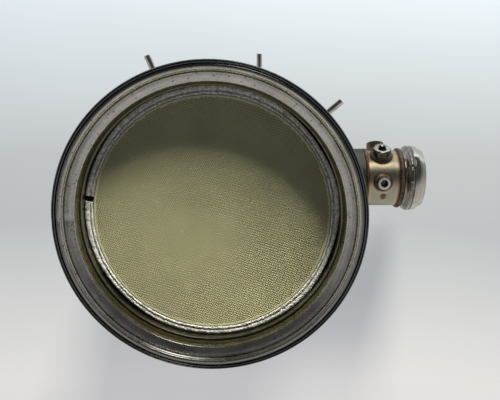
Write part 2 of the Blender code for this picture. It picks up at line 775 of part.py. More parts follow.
def sensor_bead(name, place, turn, pipe_form):
    """Make the weld round a hexagonal boss, fitted to its six flats."""
    inner = SENSOR_BOSS_FLATS / 2 - SENSOR_BOSS_CHAMFER
    outer = SENSOR_BOSS_FLATS / math.sqrt(3) + BOSS_BEAD_WIDTH
    bead = boss_bead(name, place, turn, (inner, outer), BOSS_BEAD_HEIGHT, pipe_form)
    reach = PIPE_RADIUS + SENSOR_BOSS_HEIGHT
    mesh = hexagon(SENSOR_BOSS_FLATS + 2 * CLEARANCE, PIPE_BORE / 2, reach)
    form = as_cutter(name + "_form_cutter", mesh)
    return cut(bead, on_pipe(form, place, turn))


def pressure_port(pipe_form):
    """Make the round pressure port boss with its countersunk bore."""
    top = PIPE_RADIUS + PORT_HEIGHT
    outer = PORT_DIAMETER / 2
    foot = saddle_foot(outer)
    bore = PORT_BORE / 2
    edge = PORT_COUNTERSINK
    outline = [
        (outer - edge, top),
        (outer, top - edge),
        (outer, foot),
        (bore, foot),
        (bore, top - edge),
        (bore + edge, top),
    ]
    steel = finish("port_steel", (0.52, 0.50, 0.47), 0.28, 1.0)
    port = on_pipe(turned("pressure_port_boss", outline, SMALL_STEPS, steel), BOSS_PLACE, 0.0)
    return cut(port, pipe_form)


def nib(pipe_form):
    """Make the small dished button under the pressure port."""
    top = PIPE_RADIUS + NIB_HEIGHT
    foot = saddle_foot(NIB_RADIUS)
    outline = [
        (0.0, top - NIB_HEIGHT / 2),
        (NIB_DIMPLE, top - NIB_HEIGHT / 3),
        (NIB_RADIUS - NIB_HEIGHT / 2, top),
        (NIB_RADIUS, top - NIB_HEIGHT / 2),
        (NIB_RADIUS, foot),
        (0.0, foot),
    ]
    steel = finish("nib_steel", (0.25, 0.17, 0.11), 0.45, 0.9)
    button = turned("locating_nib", outline, SMALL_STEPS, steel, closed=False)
    return cut(on_pipe(button, NIB_PLACE, NIB_TURN), pipe_form)


def pin(name, diameter, foot, direction, length, shell_form):
    """Make a plain pin with the flared foot that its weld leaves."""
    radius = diameter / 2
    outer = radius + PIN_FOOT_WIDTH
    outline = [(0.0, length), (radius - PIN_CHAMFER, length), (radius, length - PIN_CHAMFER)]
    outline += arc((outer, PIN_FOOT_HEIGHT), (PIN_FOOT_WIDTH, PIN_FOOT_HEIGHT), 180, 270, 3)
    outline += [(outer, -diameter), (0.0, -diameter)]
    steel = finish(name + "_steel", (0.45, 0.45, 0.43), 0.22, 1.0)
    thing = turned(name, outline, SMALL_STEPS, steel, closed=False)
    thing.location = foot
    thing.rotation_euler = direction.to_track_quat("Z", "Y").to_euler()
    return cut(thing, shell_form)


def pins():
    """Make the three pins, two of them radial and the middle one upright."""
    shell_form = cutter("shell_form_cutter", SHELL_OUTER + CLEARANCE, SHELL_BOTTOM, SHELL_TOP,
                        BODY_STEPS)
    radial = [
        ("left_pin", LEFT_PIN_TURN, LEFT_PIN_LENGTH),
        ("right_pin", RIGHT_PIN_TURN, RIGHT_PIN_LENGTH),
    ]
    for name, turn, length in radial:
        foot = polar(SHELL_OUTER, turn, PIN_HEIGHT)
        pin(name, PIN_DIAMETER, foot, polar(1.0, turn, 0.0), length, shell_form)
    foot = Vector((MIDDLE_PIN_OFFSET, 0.0, PIN_HEIGHT))
    foot.y = math.sqrt(SHELL_OUTER ** 2 - MIDDLE_PIN_OFFSET ** 2)
    pin("middle_pin", MIDDLE_PIN_DIAMETER, foot, Vector((0.0, 1.0, 0.0)), MIDDLE_PIN_LENGTH,
        shell_form)


def main():
    """Build the whole filter, from the block outwards."""
    clear_scene()
    block()
    support_mat()
    shell()
    shell_seam()
    retaining_ring()
    inlet_flange()
    body_bead("inlet_flange_weld", SHELL_OUTER, NECK_BOTTOM, -1)
    outlet_chamber()
    body_bead("chamber_weld", SHELL_OUTER, CHAMBER_TOP, 1)
    end_cap()
    body_bead("end_cap_weld", CHAMBER_OUTER, CAP_TOP, 1)
    chamber_form = chamber_cutter()
    spout(chamber_form)
    saddle_weld(chamber_form)
    outlet_pipe()
    pipe_bead("spout_pipe_weld", SPOUT_END + CLEARANCE, SPOUT_BEAD_LENGTH, SPOUT_BEAD_HEIGHT,
              (0.30, 0.17, 0.09))
    outlet_flange()
    pipe_bead("outlet_flange_weld", PIPE_END - FLANGE_BEAD_LENGTH / 2, FLANGE_BEAD_LENGTH,
              FLANGE_BEAD_HEIGHT, (0.28, 0.16, 0.10))
    pipe_form = pipe_form_cutter()
    sensor_boss("front_sensor_boss", BOSS_PLACE, FRONT_BOSS_TURN, pipe_form)
    sensor_bead("front_boss_weld", BOSS_PLACE, FRONT_BOSS_TURN, pipe_form)
    sensor_boss("rear_sensor_boss", REAR_BOSS_PLACE, REAR_BOSS_TURN, pipe_form)
    sensor_bead("rear_boss_weld", REAR_BOSS_PLACE, REAR_BOSS_TURN, pipe_form)
    pressure_port(pipe_form)
    port_radius = PORT_DIAMETER / 2 + CLEARANCE
    boss_bead("port_boss_weld", BOSS_PLACE, 0.0, (port_radius, port_radius + PORT_BEAD_WIDTH),
              PORT_BEAD_HEIGHT, pipe_form)
    nib(pipe_form)
    pins()


main()
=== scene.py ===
"""Diesel particulate filter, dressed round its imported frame.

Each class below is one sub-assembly of the filter. It reads its main sizes
from the frame, holds its finer sizes as fields, builds its meshes and dresses
them. Lengths are in metres. Z runs along the can, up to the open inlet, and X
along the outlet pipe.
"""

import logging
import math
from collections.abc import Callable, Mapping, Sequence
from dataclasses import dataclass
from enum import Enum

import bmesh
import bpy
from mathutils import Matrix, Vector


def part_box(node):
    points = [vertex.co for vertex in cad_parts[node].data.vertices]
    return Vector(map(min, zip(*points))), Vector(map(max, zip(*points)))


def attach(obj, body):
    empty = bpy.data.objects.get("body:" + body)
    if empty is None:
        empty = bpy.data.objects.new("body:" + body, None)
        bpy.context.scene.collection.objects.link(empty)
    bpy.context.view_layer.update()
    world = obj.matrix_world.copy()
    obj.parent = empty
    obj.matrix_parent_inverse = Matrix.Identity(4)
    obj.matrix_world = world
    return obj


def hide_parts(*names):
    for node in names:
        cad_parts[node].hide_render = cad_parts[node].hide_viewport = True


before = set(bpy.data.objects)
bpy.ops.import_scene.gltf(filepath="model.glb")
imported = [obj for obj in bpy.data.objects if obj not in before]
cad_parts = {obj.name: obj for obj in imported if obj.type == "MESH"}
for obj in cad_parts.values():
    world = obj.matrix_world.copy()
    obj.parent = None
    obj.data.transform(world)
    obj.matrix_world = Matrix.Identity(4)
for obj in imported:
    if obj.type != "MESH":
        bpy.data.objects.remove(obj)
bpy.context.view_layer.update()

LOG = logging.getLogger("filter")
BODY = "root"

Colour = tuple[float, float, float]
Outline = list[tuple[float, float]]

# Gap between pieces that touch, the distance that welds doubles, and how far a cutter overshoots
CLEARANCE = 0.0003
WELD_DISTANCE = 0.000002
CUT_REACH = 0.001

# Steps round the body, the pipe and the small turned pieces
BODY_STEPS = 256
PIPE_STEPS = 160
SMALL_STEPS = 64

# The front boss's turn round the pipe in degrees, the arc from it to the rear one, the threads'
# outer diameters, and how far from each axis the welds' heat has tinted the pipe
FRONT_TURN = 61.0
BOSS_SPACING = 0.0339
SENSOR_BORE = 0.0108
PORT_BORE = 0.0072
SENSOR_TINT = 0.022
PORT_TINT = 0.018


class Slot(Enum):
    """The record's material slots."""

    CERAMIC = "block_ceramic"
    FIBRE = "mat_fibre"
    PRESSED = "pressed_steel"
    FLANGE = "flange_steel"
    SPOUT = "spout_steel"
    PIPE = "pipe_steel"
    MACHINED = "machined_steel"
    PIN = "pin_steel"
    BOSS = "boss_steel"
    WELD = "weld_metal"


class Number:
    """A value socket that takes Python's arithmetic, one Math node for each step."""

    def __init__(self, nodes: "Nodes", socket: bpy.types.NodeSocket) -> None:
        """Wraps a socket.

        Args:
            nodes: The tree that the socket is in.
            socket: The output socket to wrap.
        """
        self.nodes = nodes
        self.socket = socket

    def __add__(self, other: "Number | float") -> "Number":
        """Adds."""
        return self.nodes.math("ADD", self, other)

    def __sub__(self, other: "Number | float") -> "Number":
        """Subtracts."""
        return self.nodes.math("SUBTRACT", self, other)

    def __rsub__(self, other: float) -> "Number":
        """Subtracts this from a number."""
        return self.nodes.math("SUBTRACT", other, self)

    def __mul__(self, other: "Number | float") -> "Number":
        """Multiplies."""
        return self.nodes.math("MULTIPLY", self, other)

    def __truediv__(self, other: "Number | float") -> "Number":
        """Divides."""
        return self.nodes.math("DIVIDE", self, other)

    def __rtruediv__(self, other: float) -> "Number":
        """Divides a number by this."""
        return self.nodes.math("DIVIDE", other, self)

    __radd__ = __add__
    __rmul__ = __mul__


class Nodes:
    """A node tree, with short ways to add nodes and sums to it."""

    def __init__(self, tree: bpy.types.NodeTree) -> None:
        """Takes up a tree.

        Args:
            tree: The tree of a material or of the world.
        """
        self.tree = tree

    def node(self, kind: str, settings: Mapping[str, object],
             sockets: Mapping[str | int, object]) -> bpy.types.Node:
        """Adds a node.

        Args:
            kind: The node's Blender type.
            settings: Its properties, set first. "stops" holds a ramp's positions and colours.
            sockets: The value or link of each input, by name or number.

        Returns:
            The node.
        """
        made = self.tree.nodes.new(kind)
        for key, value in settings.items():
            if key == "stops":
                self._set_stops(made.color_ramp, value)
            else:
                setattr(made, key, value)
        for key, value in sockets.items():
            self.feed(made.inputs[key], value)
        return made

    @staticmethod
    def _set_stops(ramp: bpy.types.ColorRamp, stops: Sequence[tuple[float, Colour]]) -> None:
        """Gives a colour ramp its stops.

        Args:
            ramp: The ramp, with Blender's two first stops.
            stops: Each stop's position and colour.
        """
        while len(ramp.elements) < len(stops):
            ramp.elements.new(1.0)
        for element, (position, colour) in zip(ramp.elements, stops):
            element.position = position
            element.color = (*colour, 1.0)

    def feed(self, socket: bpy.types.NodeSocket, value: object) -> None:
        """Links a socket or sets its value.

        Args:
            socket: The input socket.
            value: A Number, an output socket, a colour, a vector or a plain number.
        """
        if isinstance(value, Number):
            self.tree.links.new(value.socket, socket)
        elif isinstance(value, bpy.types.NodeSocket):
            self.tree.links.new(value, socket)
        elif socket.type == "RGBA":
            socket.default_value = (*value, 1.0)
        else:
            socket.default_value = value

    def math(self, operation: str, *values: "Number | float") -> Number:
        """Adds a Math node.

        Args:
            operation: Blender's name for the sum.
            values: The numbers that it takes.

        Returns:
            The result.
        """
        made = self.node("ShaderNodeMath", {"operation": operation}, dict(enumerate(values)))
        return Number(self, made.outputs[0])

    def vector(self, x: "Number | float", y: "Number | float",
               z: "Number | float") -> bpy.types.NodeSocket:
        """Returns a vector socket put together from three numbers."""
        return self.node("ShaderNodeCombineXYZ", {}, {0: x, 1: y, 2: z}).outputs[0]

    def fade(self, value: Number, zero: float, one: float) -> Number:
        """Returns a smooth step.

        Args:
            value: The number to read.
            zero: The value at which the step is 0.
            one: The value at which the step is 1.

        Returns:
            The step.
        """
        if zero < one:
            ends = {"From Min": zero, "From Max": one, "To Min": 0.0, "To Max": 1.0}
        else:
            ends = {"From Min": one, "From Max": zero, "To Min": 1.0, "To Max": 0.0}
        made = self.node("ShaderNodeMapRange", {"interpolation_type": "SMOOTHSTEP"},
                         {"Value": value} | ends)
        return Number(self, made.outputs[0])

    def ramp(self, value: Number, stops: Sequence[tuple[float, Colour]]) -> bpy.types.NodeSocket:
        """Returns the colour of a ramp at a value."""
        return self.node("ShaderNodeValToRGB", {"stops": stops}, {0: value}).outputs[0]

    def mix(self, factor: "Number | float", first: object,
            second: object) -> bpy.types.NodeSocket:
        """Mixes two colours.

        Args:
            factor: The share of the second colour.
            first: A colour or a colour socket.
            second: A colour or a colour socket.

        Returns:
            The mixed colour.
        """
        made = self.node("ShaderNodeMix", {"data_type": "RGBA"},
                         {0: factor, 6: first, 7: second})
        return made.outputs[2]


class Paint(Nodes):
    """One material's node tree, with short ways to add what a finish needs."""

    def __init__(self, name: str) -> None:
        """Starts a material with a Principled shader.

        Args:
            name: The material's name.
        """
        self.material = bpy.data.materials.new(name)
        self.material.use_nodes = True
        super().__init__(self.material.node_tree)
        self.shader = self.tree.nodes["Principled BSDF"]
        coordinates = self.node("ShaderNodeTexCoord", {}, {})
        self.point = coordinates.outputs["Object"]
        parts = self.node("ShaderNodeSeparateXYZ", {}, {0: self.point})
        self.x, self.y, self.z = [Number(self, socket) for socket in parts.outputs]

    def radius(self) -> Number:
        """Returns the distance from the can's axis."""
        return self.math("SQRT", self.x * self.x + self.y * self.y)

    def turn(self) -> Number:
        """Returns the angle round the can's axis, in radians."""
        return self.math("ARCTAN2", self.y, self.x)

    def noise(self, scale: float, detail: float = 2.0, roughness: float = 0.5,
              vector: bpy.types.NodeSocket | None = None) -> Number:
        """Adds a noise.

        Args:
            scale: Its scale, in turns for each metre on plain coordinates.
            detail: Its octaves.
            roughness: How strong the fine octaves are.
            vector: The coordinates, or None for the object's own.

        Returns:
            The noise, from 0 to 1.
        """
        made = self.node("ShaderNodeTexNoise", {}, {
            "Vector": vector or self.point, "Scale": scale, "Detail": detail,
            "Roughness": roughness})
        return Number(self, made.outputs[0])

    def specks(self, scale: float, size: float) -> Number:
        """Adds small scattered spots.

        Args:
            scale: How many cells there are for each metre.
            size: The spots' radius, as a share of a cell.

        Returns:
            A mask that is 1 on the spots.
        """
        cells = self.node("ShaderNodeTexVoronoi", {}, {"Vector": self.point, "Scale": scale})
        return self.fade(Number(self, cells.outputs["Distance"]), size, size / 2)

    def round_streaks(self, around: float, across: float) -> Number:
        """Returns a noise drawn out round the can's axis, as a turning tool leaves it.

        Args:
            around: How fast it changes round the can.
            across: How fast it changes across the radius and along the can.

        Returns:
            The noise, from 0 to 1.
        """
        radius = self.radius()
        place = self.vector(self.x / radius * around, self.y / radius * around,
                            (radius + self.z) * across)
        return self.noise(1.0, 3.0, 0.6, place)

    def pipe_streaks(self, height: float, around: float, across: float) -> Number:
        """Returns a noise drawn out round the outlet pipe's axis.

        Args:
            height: The pipe's height.
            around: How fast it changes round the pipe.
            across: How fast it changes along the pipe.

        Returns:
            The noise, from 0 to 1.
        """
        place = self.vector(self.x * across, self.y * around, (self.z - height) * around)
        return self.noise(1.0, 3.0, 0.6, place)

    def bump(self, height: Number, distance: float) -> bpy.types.NodeSocket:
        """Returns a normal bent by a height, where a height of 1 stands for a distance."""
        sockets = {"Distance": distance, "Height": height}
        return self.node("ShaderNodeBump", {}, sockets).outputs[0]

    def finish(self, colour: object, roughness: object, metallic: object,
               normal: bpy.types.NodeSocket | None = None) -> bpy.types.Material:
        """Feeds the shader and returns the material.

        Args:
            colour: The base colour or its socket.
            roughness: The roughness or its socket.
            metallic: The metallic value or its socket.
            normal: The bent normal, or None.

        Returns:
            The finished material.
        """
        self.feed(self.shader.inputs["Base Color"], colour)
        self.feed(self.shader.inputs["Roughness"], roughness)
        self.feed(self.shader.inputs["Metallic"], metallic)
        if normal is not None:
            self.feed(self.shader.inputs["Normal"], normal)
        return self.material


@dataclass(frozen=True)
class TurnedSteel:
    """Satin steel with fine marks round the can, blotches, specks, an aged inner wall and painted
    shade along a groove.
    """

    name: str
    light: Colour = (0.60, 0.585, 0.55)
    dark: Colour = (0.34, 0.325, 0.295)
    aged: Colour = (0.25, 0.235, 0.16)
    aged_radius: float = 0.0
    hem_radius: float = 0.0
    groove_radius: float = 0.0
    roughness: float = 0.25
    seams: tuple[float, ...] = ()

    def make(self) -> bpy.types.Material:
        """Returns the material."""
        paint = Paint(self.name)
        streaks = paint.round_streaks(5.0, 900.0)
        blotches = paint.noise(26.0, 4.0, 0.62)
        grain = paint.noise(420.0, 4.0, 0.7)
        shade = paint.fade(streaks * 0.35 + blotches * 0.45 + grain * 0.35, 0.38, 0.78)
        colour = paint.mix(shade, self.dark, self.light)
        specks = paint.specks(170.0, 0.19)
        grime = paint.fade(paint.noise(75.0, 5.0, 0.7), 0.56, 0.74)
        if self.aged_radius:
            edge = paint.radius() + paint.noise(60.0) * 0.0012
            inner = paint.fade(edge, self.aged_radius + 0.0006, self.aged_radius - 0.0006)
            lines = paint.round_streaks(2.2, 2600.0)
            wall = paint.mix(paint.fade(lines, 0.35, 0.65), self.aged, (0.15, 0.12, 0.07))
            colour = paint.mix(inner, colour, wall)
        colour = paint.mix(specks * 0.75 + grime * 0.22, colour, (0.05, 0.045, 0.04))
        if self.hem_radius:
            hem = paint.fade(paint.radius() + blotches * 0.0016, self.hem_radius,
                             self.hem_radius + 0.0010)
            colour = paint.mix(hem * 0.85, colour, (0.10, 0.105, 0.11))
        # Painted shade: the steel is darkened to near black along the groove.
        if self.groove_radius:
            away = paint.math("ABSOLUTE", paint.radius() - self.groove_radius)
            groove_shade = paint.fade(away + blotches * 0.0006, 0.0014, 0.0004)
            colour = paint.mix(groove_shade * 0.75, colour, (0.055, 0.05, 0.04))
        height = streaks
        for seam in self.seams:
            away = paint.math("ABSOLUTE", (paint.turn() - math.radians(seam)) * paint.radius()
                              + paint.noise(110.0, 3.0) * 0.0016 - 0.0008)
            line = paint.fade(away, 0.00055, 0.00015)
            colour = paint.mix(line * 0.7, colour, (0.06, 0.055, 0.05))
            height = height - line * 2.0
        roughness = streaks * 0.16 + blotches * 0.18 + (self.roughness - 0.16)
        return paint.finish(colour, roughness, 1.0, paint.bump(height, 0.00004))


@dataclass(frozen=True)
class TintedSteel:
    """Pipe steel with the heat tints that welding leaves, by distance from each weld."""

    name: str
    height: float
    hot_rings: tuple[tuple[float, float], ...]
    hot_spots: tuple[tuple[Vector, float], ...]
    cold: Colour = (0.40, 0.385, 0.315)
    roughness: float = 0.30

    def make(self) -> bpy.types.Material:
        """Returns the material."""
        paint = Paint(self.name)
        wander = paint.noise(55.0, 4.0, 0.6)
        heat = wander * 0.28 - 0.12
        for place, reach in self.hot_rings:
            away = paint.math("ABSOLUTE", paint.x - place) + wander * 0.004 - 0.002
            heat = heat + paint.fade(away, reach, 0.0)
        for centre, reach in self.hot_spots:
            offset = paint.node("ShaderNodeVectorMath", {"operation": "DISTANCE"},
                                {0: paint.point, 1: centre})
            away = Number(paint, offset.outputs["Value"]) + wander * 0.004 - 0.002
            heat = heat + paint.fade(away, reach, reach * 0.45)
        colour = paint.ramp(heat, (
            (0.0, self.cold), (0.22, (0.56, 0.50, 0.33)), (0.45, (0.46, 0.31, 0.15)),
            (0.62, (0.27, 0.165, 0.09)), (0.80, (0.15, 0.11, 0.10)), (1.0, (0.10, 0.088, 0.07))))
        streaks = paint.pipe_streaks(self.height, 30.0, 1800.0)
        colour = paint.mix(streaks * 0.30, colour, (0.16, 0.15, 0.12))
        specks = paint.specks(260.0, 0.16)
        colour = paint.mix(specks * 0.5, colour, (0.08, 0.06, 0.05))
        roughness = streaks * 0.14 + wander * 0.12 + (self.roughness - 0.08)
        return paint.finish(colour, roughness, 1.0, paint.bump(streaks, 0.00003))


@dataclass(frozen=True)
class PipeSteel:
    """Steel turned about the outlet pipe's axis: bright, dull or browned."""

    name: str
    height: float
    light: Colour
    dark: Colour
    roughness: float
    marks: float = 0.4

    def make(self) -> bpy.types.Material:
        """Returns the material."""
        paint = Paint(self.name)
        streaks = paint.pipe_streaks(self.height, 45.0, 3200.0)
        blotches = paint.noise(70.0, 4.0, 0.6)
        shade = paint.fade(streaks * self.marks + blotches * (1.0 - self.marks), 0.30, 0.68)
        colour = paint.mix(shade, self.dark, self.light)
        specks = paint.specks(420.0, 0.18)
        colour = paint.mix(specks * 0.55, colour, (0.06, 0.05, 0.045))
        roughness = streaks * 0.12 + blotches * 0.10 + (self.roughness - 0.10)
        return paint.finish(colour, roughness, 1.0, paint.bump(streaks, 0.00003))


@dataclass(frozen=True)
class WeldMetal:
    """Rippled weld metal, brown to copper with dark scale in its valleys."""

    name: str
    light: Colour = (0.36, 0.22, 0.13)
    dark: Colour = (0.10, 0.065, 0.05)
    roughness: float = 0.38

    def make(self) -> bpy.types.Material:
        """Returns the material."""
        paint = Paint(self.name)
        scale = paint.noise(230.0, 5.0, 0.65)
        patches = paint.noise(60.0, 3.0, 0.5)
        colour = paint.mix(paint.fade(scale * 0.6 + patches * 0.5, 0.38, 0.72),
                           self.dark, self.light)
        straw = paint.fade(patches, 0.60, 0.78)
        colour = paint.mix(straw * 0.5, colour, (0.42, 0.36, 0.24))
        roughness = scale * 0.3 + (self.roughness - 0.12)
        return paint.finish(colour, roughness, 0.9, paint.bump(scale, 0.00012))


@dataclass(frozen=True)
class Ceramic:
    """Porous olive ceramic, paler on the webs and darker down the open cells, where the darker copy
    is painted shade.
    """

    name: str
    light: Colour
    dark: Colour

    def make(self) -> bpy.types.Material:
        """Returns the material."""
        paint = Paint(self.name)
        pores = paint.noise(1500.0, 2.0, 0.6)
        clouds = paint.noise(14.0, 4.0, 0.55)
        chips = paint.specks(95.0, 0.055)
        colour = paint.mix(paint.fade(pores * 0.4 + clouds * 0.7, 0.36, 0.74),
                           self.dark, self.light)
        colour = paint.mix(chips * 0.8, colour, (0.62, 0.60, 0.50))
        return paint.finish(colour, 0.95, 0.0, paint.bump(pores, 0.00008))


@dataclass(frozen=True)
class Fibre:
    """Compressed mineral fibre: pale strands over a grey brown ground."""

    name: str
    light: Colour = (0.62, 0.63, 0.62)
    dark: Colour = (0.19, 0.185, 0.165)

    def make(self) -> bpy.types.Material:
        """Returns the material."""
        paint = Paint(self.name)
        strands = paint.noise(640.0, 4.0, 0.75)
        lumps = paint.noise(230.0, 3.0, 0.6)
        layers = paint.round_streaks(30.0, 900.0)
        mass = strands * 0.60 + lumps * 0.25 + layers * 0.15
        colour = paint.mix(paint.fade(mass, 0.40, 0.60), self.dark, self.light)
        scorched = paint.fade(paint.noise(20.0, 3.0), 0.55, 0.75)
        colour = paint.mix(scorched * 0.25, colour, (0.34, 0.26, 0.15))
        return paint.finish(colour, 1.0, 0.0, paint.bump(strands * 0.6 + lumps * 0.6, 0.0006))


def arc(middle: tuple[float, float], radii: tuple[float, float], start: float, end: float,
        count: int) -> Outline:
    """Returns points along an elliptic arc.

    Args:
        middle: The ellipse's centre.
        radii: Its half widths.
        start: The first point's angle in degrees.
        end: The last point's angle in degrees.
        count: How many steps there are between them.

    Returns:
        The points, both ends among them.
    """
    points = []
    for index in range(count + 1):
        angle = math.radians(start + (end - start) * index / count)
        points.append((middle[0] + radii[0] * math.cos(angle),
                       middle[1] + radii[1] * math.sin(angle)))
    return points


def ease(start: tuple[float, float], end: tuple[float, float], count: int) -> Outline:
    """Returns the inner points of a smooth S curve between two points.

    Args:
        start: The first point, which isn't returned.
        end: The last point, which isn't returned.
        count: How many steps there are between them.

    Returns:
        The points in between.
    """
    points = []
    for index in range(1, count):
        share = index / count
        rise = share * share * (3.0 - 2.0 * share)
        points.append((start[0] + (end[0] - start[0]) * rise,
                       start[1] + (end[1] - start[1]) * share))
    return points


def pick(piece: bpy.types.Object) -> None:
    """Makes an object the active one and the only one selected."""
    bpy.ops.object.select_all(action="DESELECT")
    piece.select_set(True)
    bpy.context.view_layer.objects.active = piece


def adopt_primitive(name: str) -> bpy.types.Object:
    """Names the primitive that was just added, and returns it."""
    piece = bpy.context.object
    piece.name = name
    piece.data.name = name
    return piece


def turned(name: str, outline: Outline, steps: int, closed: bool = True) -> bpy.types.Object:
    """Draws an outline point by point and spins it round the Z axis.

    Args:
        name: The new object's name.
        outline: The outline's radii and heights.
        steps: How many steps there are in the full turn.
        closed: True if the last point joins the first, False if both ends are on the axis.

    Returns:
        The turned object.
    """
    bpy.ops.object.select_all(action="DESELECT")
    bpy.ops.mesh.primitive_plane_add(size=CUT_REACH)
    piece = adopt_primitive(name)
    bpy.ops.object.mode_set(mode="EDIT")
    bpy.ops.mesh.select_mode(type="VERT")
    bpy.ops.mesh.select_all(action="SELECT")
    bpy.ops.mesh.merge(type="CENTER")
    radius, height = outline[0]
    bpy.ops.transform.translate(value=(radius, 0.0, height))
    route = outline + outline[:1] if closed else outline
    for near, far in zip(route, route[1:]):
        step = (far[0] - near[0], 0.0, far[1] - near[1])
        bpy.ops.mesh.extrude_region_move(TRANSFORM_OT_translate={"value": step})
    bpy.ops.mesh.select_all(action="SELECT")
    bpy.ops.mesh.spin(steps=steps, angle=2.0 * math.pi, center=(0.0, 0.0, 0.0),
                      axis=(0.0, 0.0, 1.0))
    bpy.ops.mesh.select_all(action="SELECT")
    bpy.ops.mesh.remove_doubles(threshold=WELD_DISTANCE)
    bpy.ops.mesh.normals_make_consistent(inside=False)
    bpy.ops.object.mode_set(mode="OBJECT")
    return piece


def select_vertices(piece: bpy.types.Object, test: Callable[[Vector], bool]) -> None:
    """Selects the vertices of an object in edit mode by their place.

    Args:
        piece: The object, in edit mode.
        test: Says for a place whether its vertex is selected.
    """
    bpy.ops.mesh.select_mode(type="VERT")
    bpy.ops.mesh.select_all(action="DESELECT")
    shape = bmesh.from_edit_mesh(piece.data)
    for vertex in shape.verts:
        vertex.select = test(vertex.co)
    shape.select_flush_mode()
    bmesh.update_edit_mesh(piece.data)


def select_faces(piece: bpy.types.Object, test: Callable[[bmesh.types.BMFace], bool]) -> None:
    """Selects the faces of an object in edit mode.

    Args:
        piece: The object, in edit mode.
        test: Says for a face whether it is selected.
    """
    bpy.ops.mesh.select_mode(type="FACE")
    bpy.ops.mesh.select_all(action="DESELECT")
    shape = bmesh.from_edit_mesh(piece.data)
    for face in shape.faces:
        face.select_set(test(face))
    bmesh.update_edit_mesh(piece.data)


def reshape(piece: bpy.types.Object, move: Callable[[Vector], Vector]) -> None:
    """Moves every vertex of an object.

    Args:
        piece: The object.
        move: Gives a vertex's new place from its old one.
    """
    for vertex in piece.data.vertices:
        vertex.co = move(vertex.co.copy())


def place(piece: bpy.types.Object, matrix: Matrix) -> bpy.types.Object:
    """Puts an object in place and leaves the place in its mesh.

    Args:
        piece: The object, at the origin.
        matrix: Where it goes.

    Returns:
        The object.
    """
    pick(piece)
    piece.matrix_world = matrix
    bpy.ops.object.transform_apply(location=True, rotation=True, scale=True)
    return piece


def combine(piece: bpy.types.Object, tool: bpy.types.Object, operation: str) -> None:
    """Applies a Boolean to an object and removes the tool.

    Args:
        piece: The object that changes.
        tool: The object that shapes it.
        operation: DIFFERENCE, INTERSECT or UNION.
    """
    modifier = piece.modifiers.new(operation.title(), "BOOLEAN")
    modifier.operation = operation
    modifier.solver = "EXACT"
    modifier.object = tool
    pick(piece)
    bpy.ops.object.modifier_apply(modifier=modifier.name)
    bpy.data.objects.remove(tool, do_unlink=True)


def ripple(piece: bpy.types.Object, steps: int, height: float,
           proud: Callable[[Vector], bool]) -> None:
    """Raises and lowers rings of a turned bead, so that it looks laid in small pools.

    Args:
        piece: A piece turned round Z in steps that are a multiple of four.
        steps: How many steps its full turn has.
        height: How far the rings rise and sink.
        proud: Says for a place whether it is on the bead's outer side.
    """
    pick(piece)
    bpy.ops.object.mode_set(mode="EDIT")
    for ring, rise in ((0, height), (2, -height)):
        def on_ring(spot: Vector, ring: int = ring) -> bool:
            """Says whether a place is on one of the rings and on the outer side."""
            number = round(math.atan2(spot.y, spot.x) / (2.0 * math.pi) * steps)
            return number % 4 == ring and proud(spot)
        select_vertices(piece, on_ring)
        bpy.ops.transform.shrink_fatten(value=rise)
    bpy.ops.object.mode_set(mode="OBJECT")


def dress(piece: bpy.types.Object, nodes: Sequence[str], slot: Slot,
          materials: Sequence[bpy.types.Material], crease: float = 32.0) -> None:
    """Shades a piece, gives it its materials and puts it in the place of CAD nodes.

    Args:
        piece: The finished piece.
        nodes: The CAD nodes that it stands for.
        slot: The record's slot; not used.
        materials: Its materials, in the order of its own slots.
        crease: The angle in degrees past which an edge stays sharp.
    """
    pick(piece)
    bpy.ops.object.shade_smooth_by_angle(angle=math.radians(crease))
    if piece.data.materials:
        for index, material in enumerate(materials):
            piece.data.materials[index] = material
    else:
        for material in materials:
            piece.data.materials.append(material)
    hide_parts(*nodes)
    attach(piece, BODY)
    LOG.info("%s: %d faces", piece.name, len(piece.data.polygons))


def repaint(node: str, material: bpy.types.Material) -> None:
    """Gives a CAD node that stays in view a finished material."""
    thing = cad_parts[node]
    if not thing.data.materials:
        thing.data.materials.append(material)
    for slot in thing.material_slots:
        slot.material = material


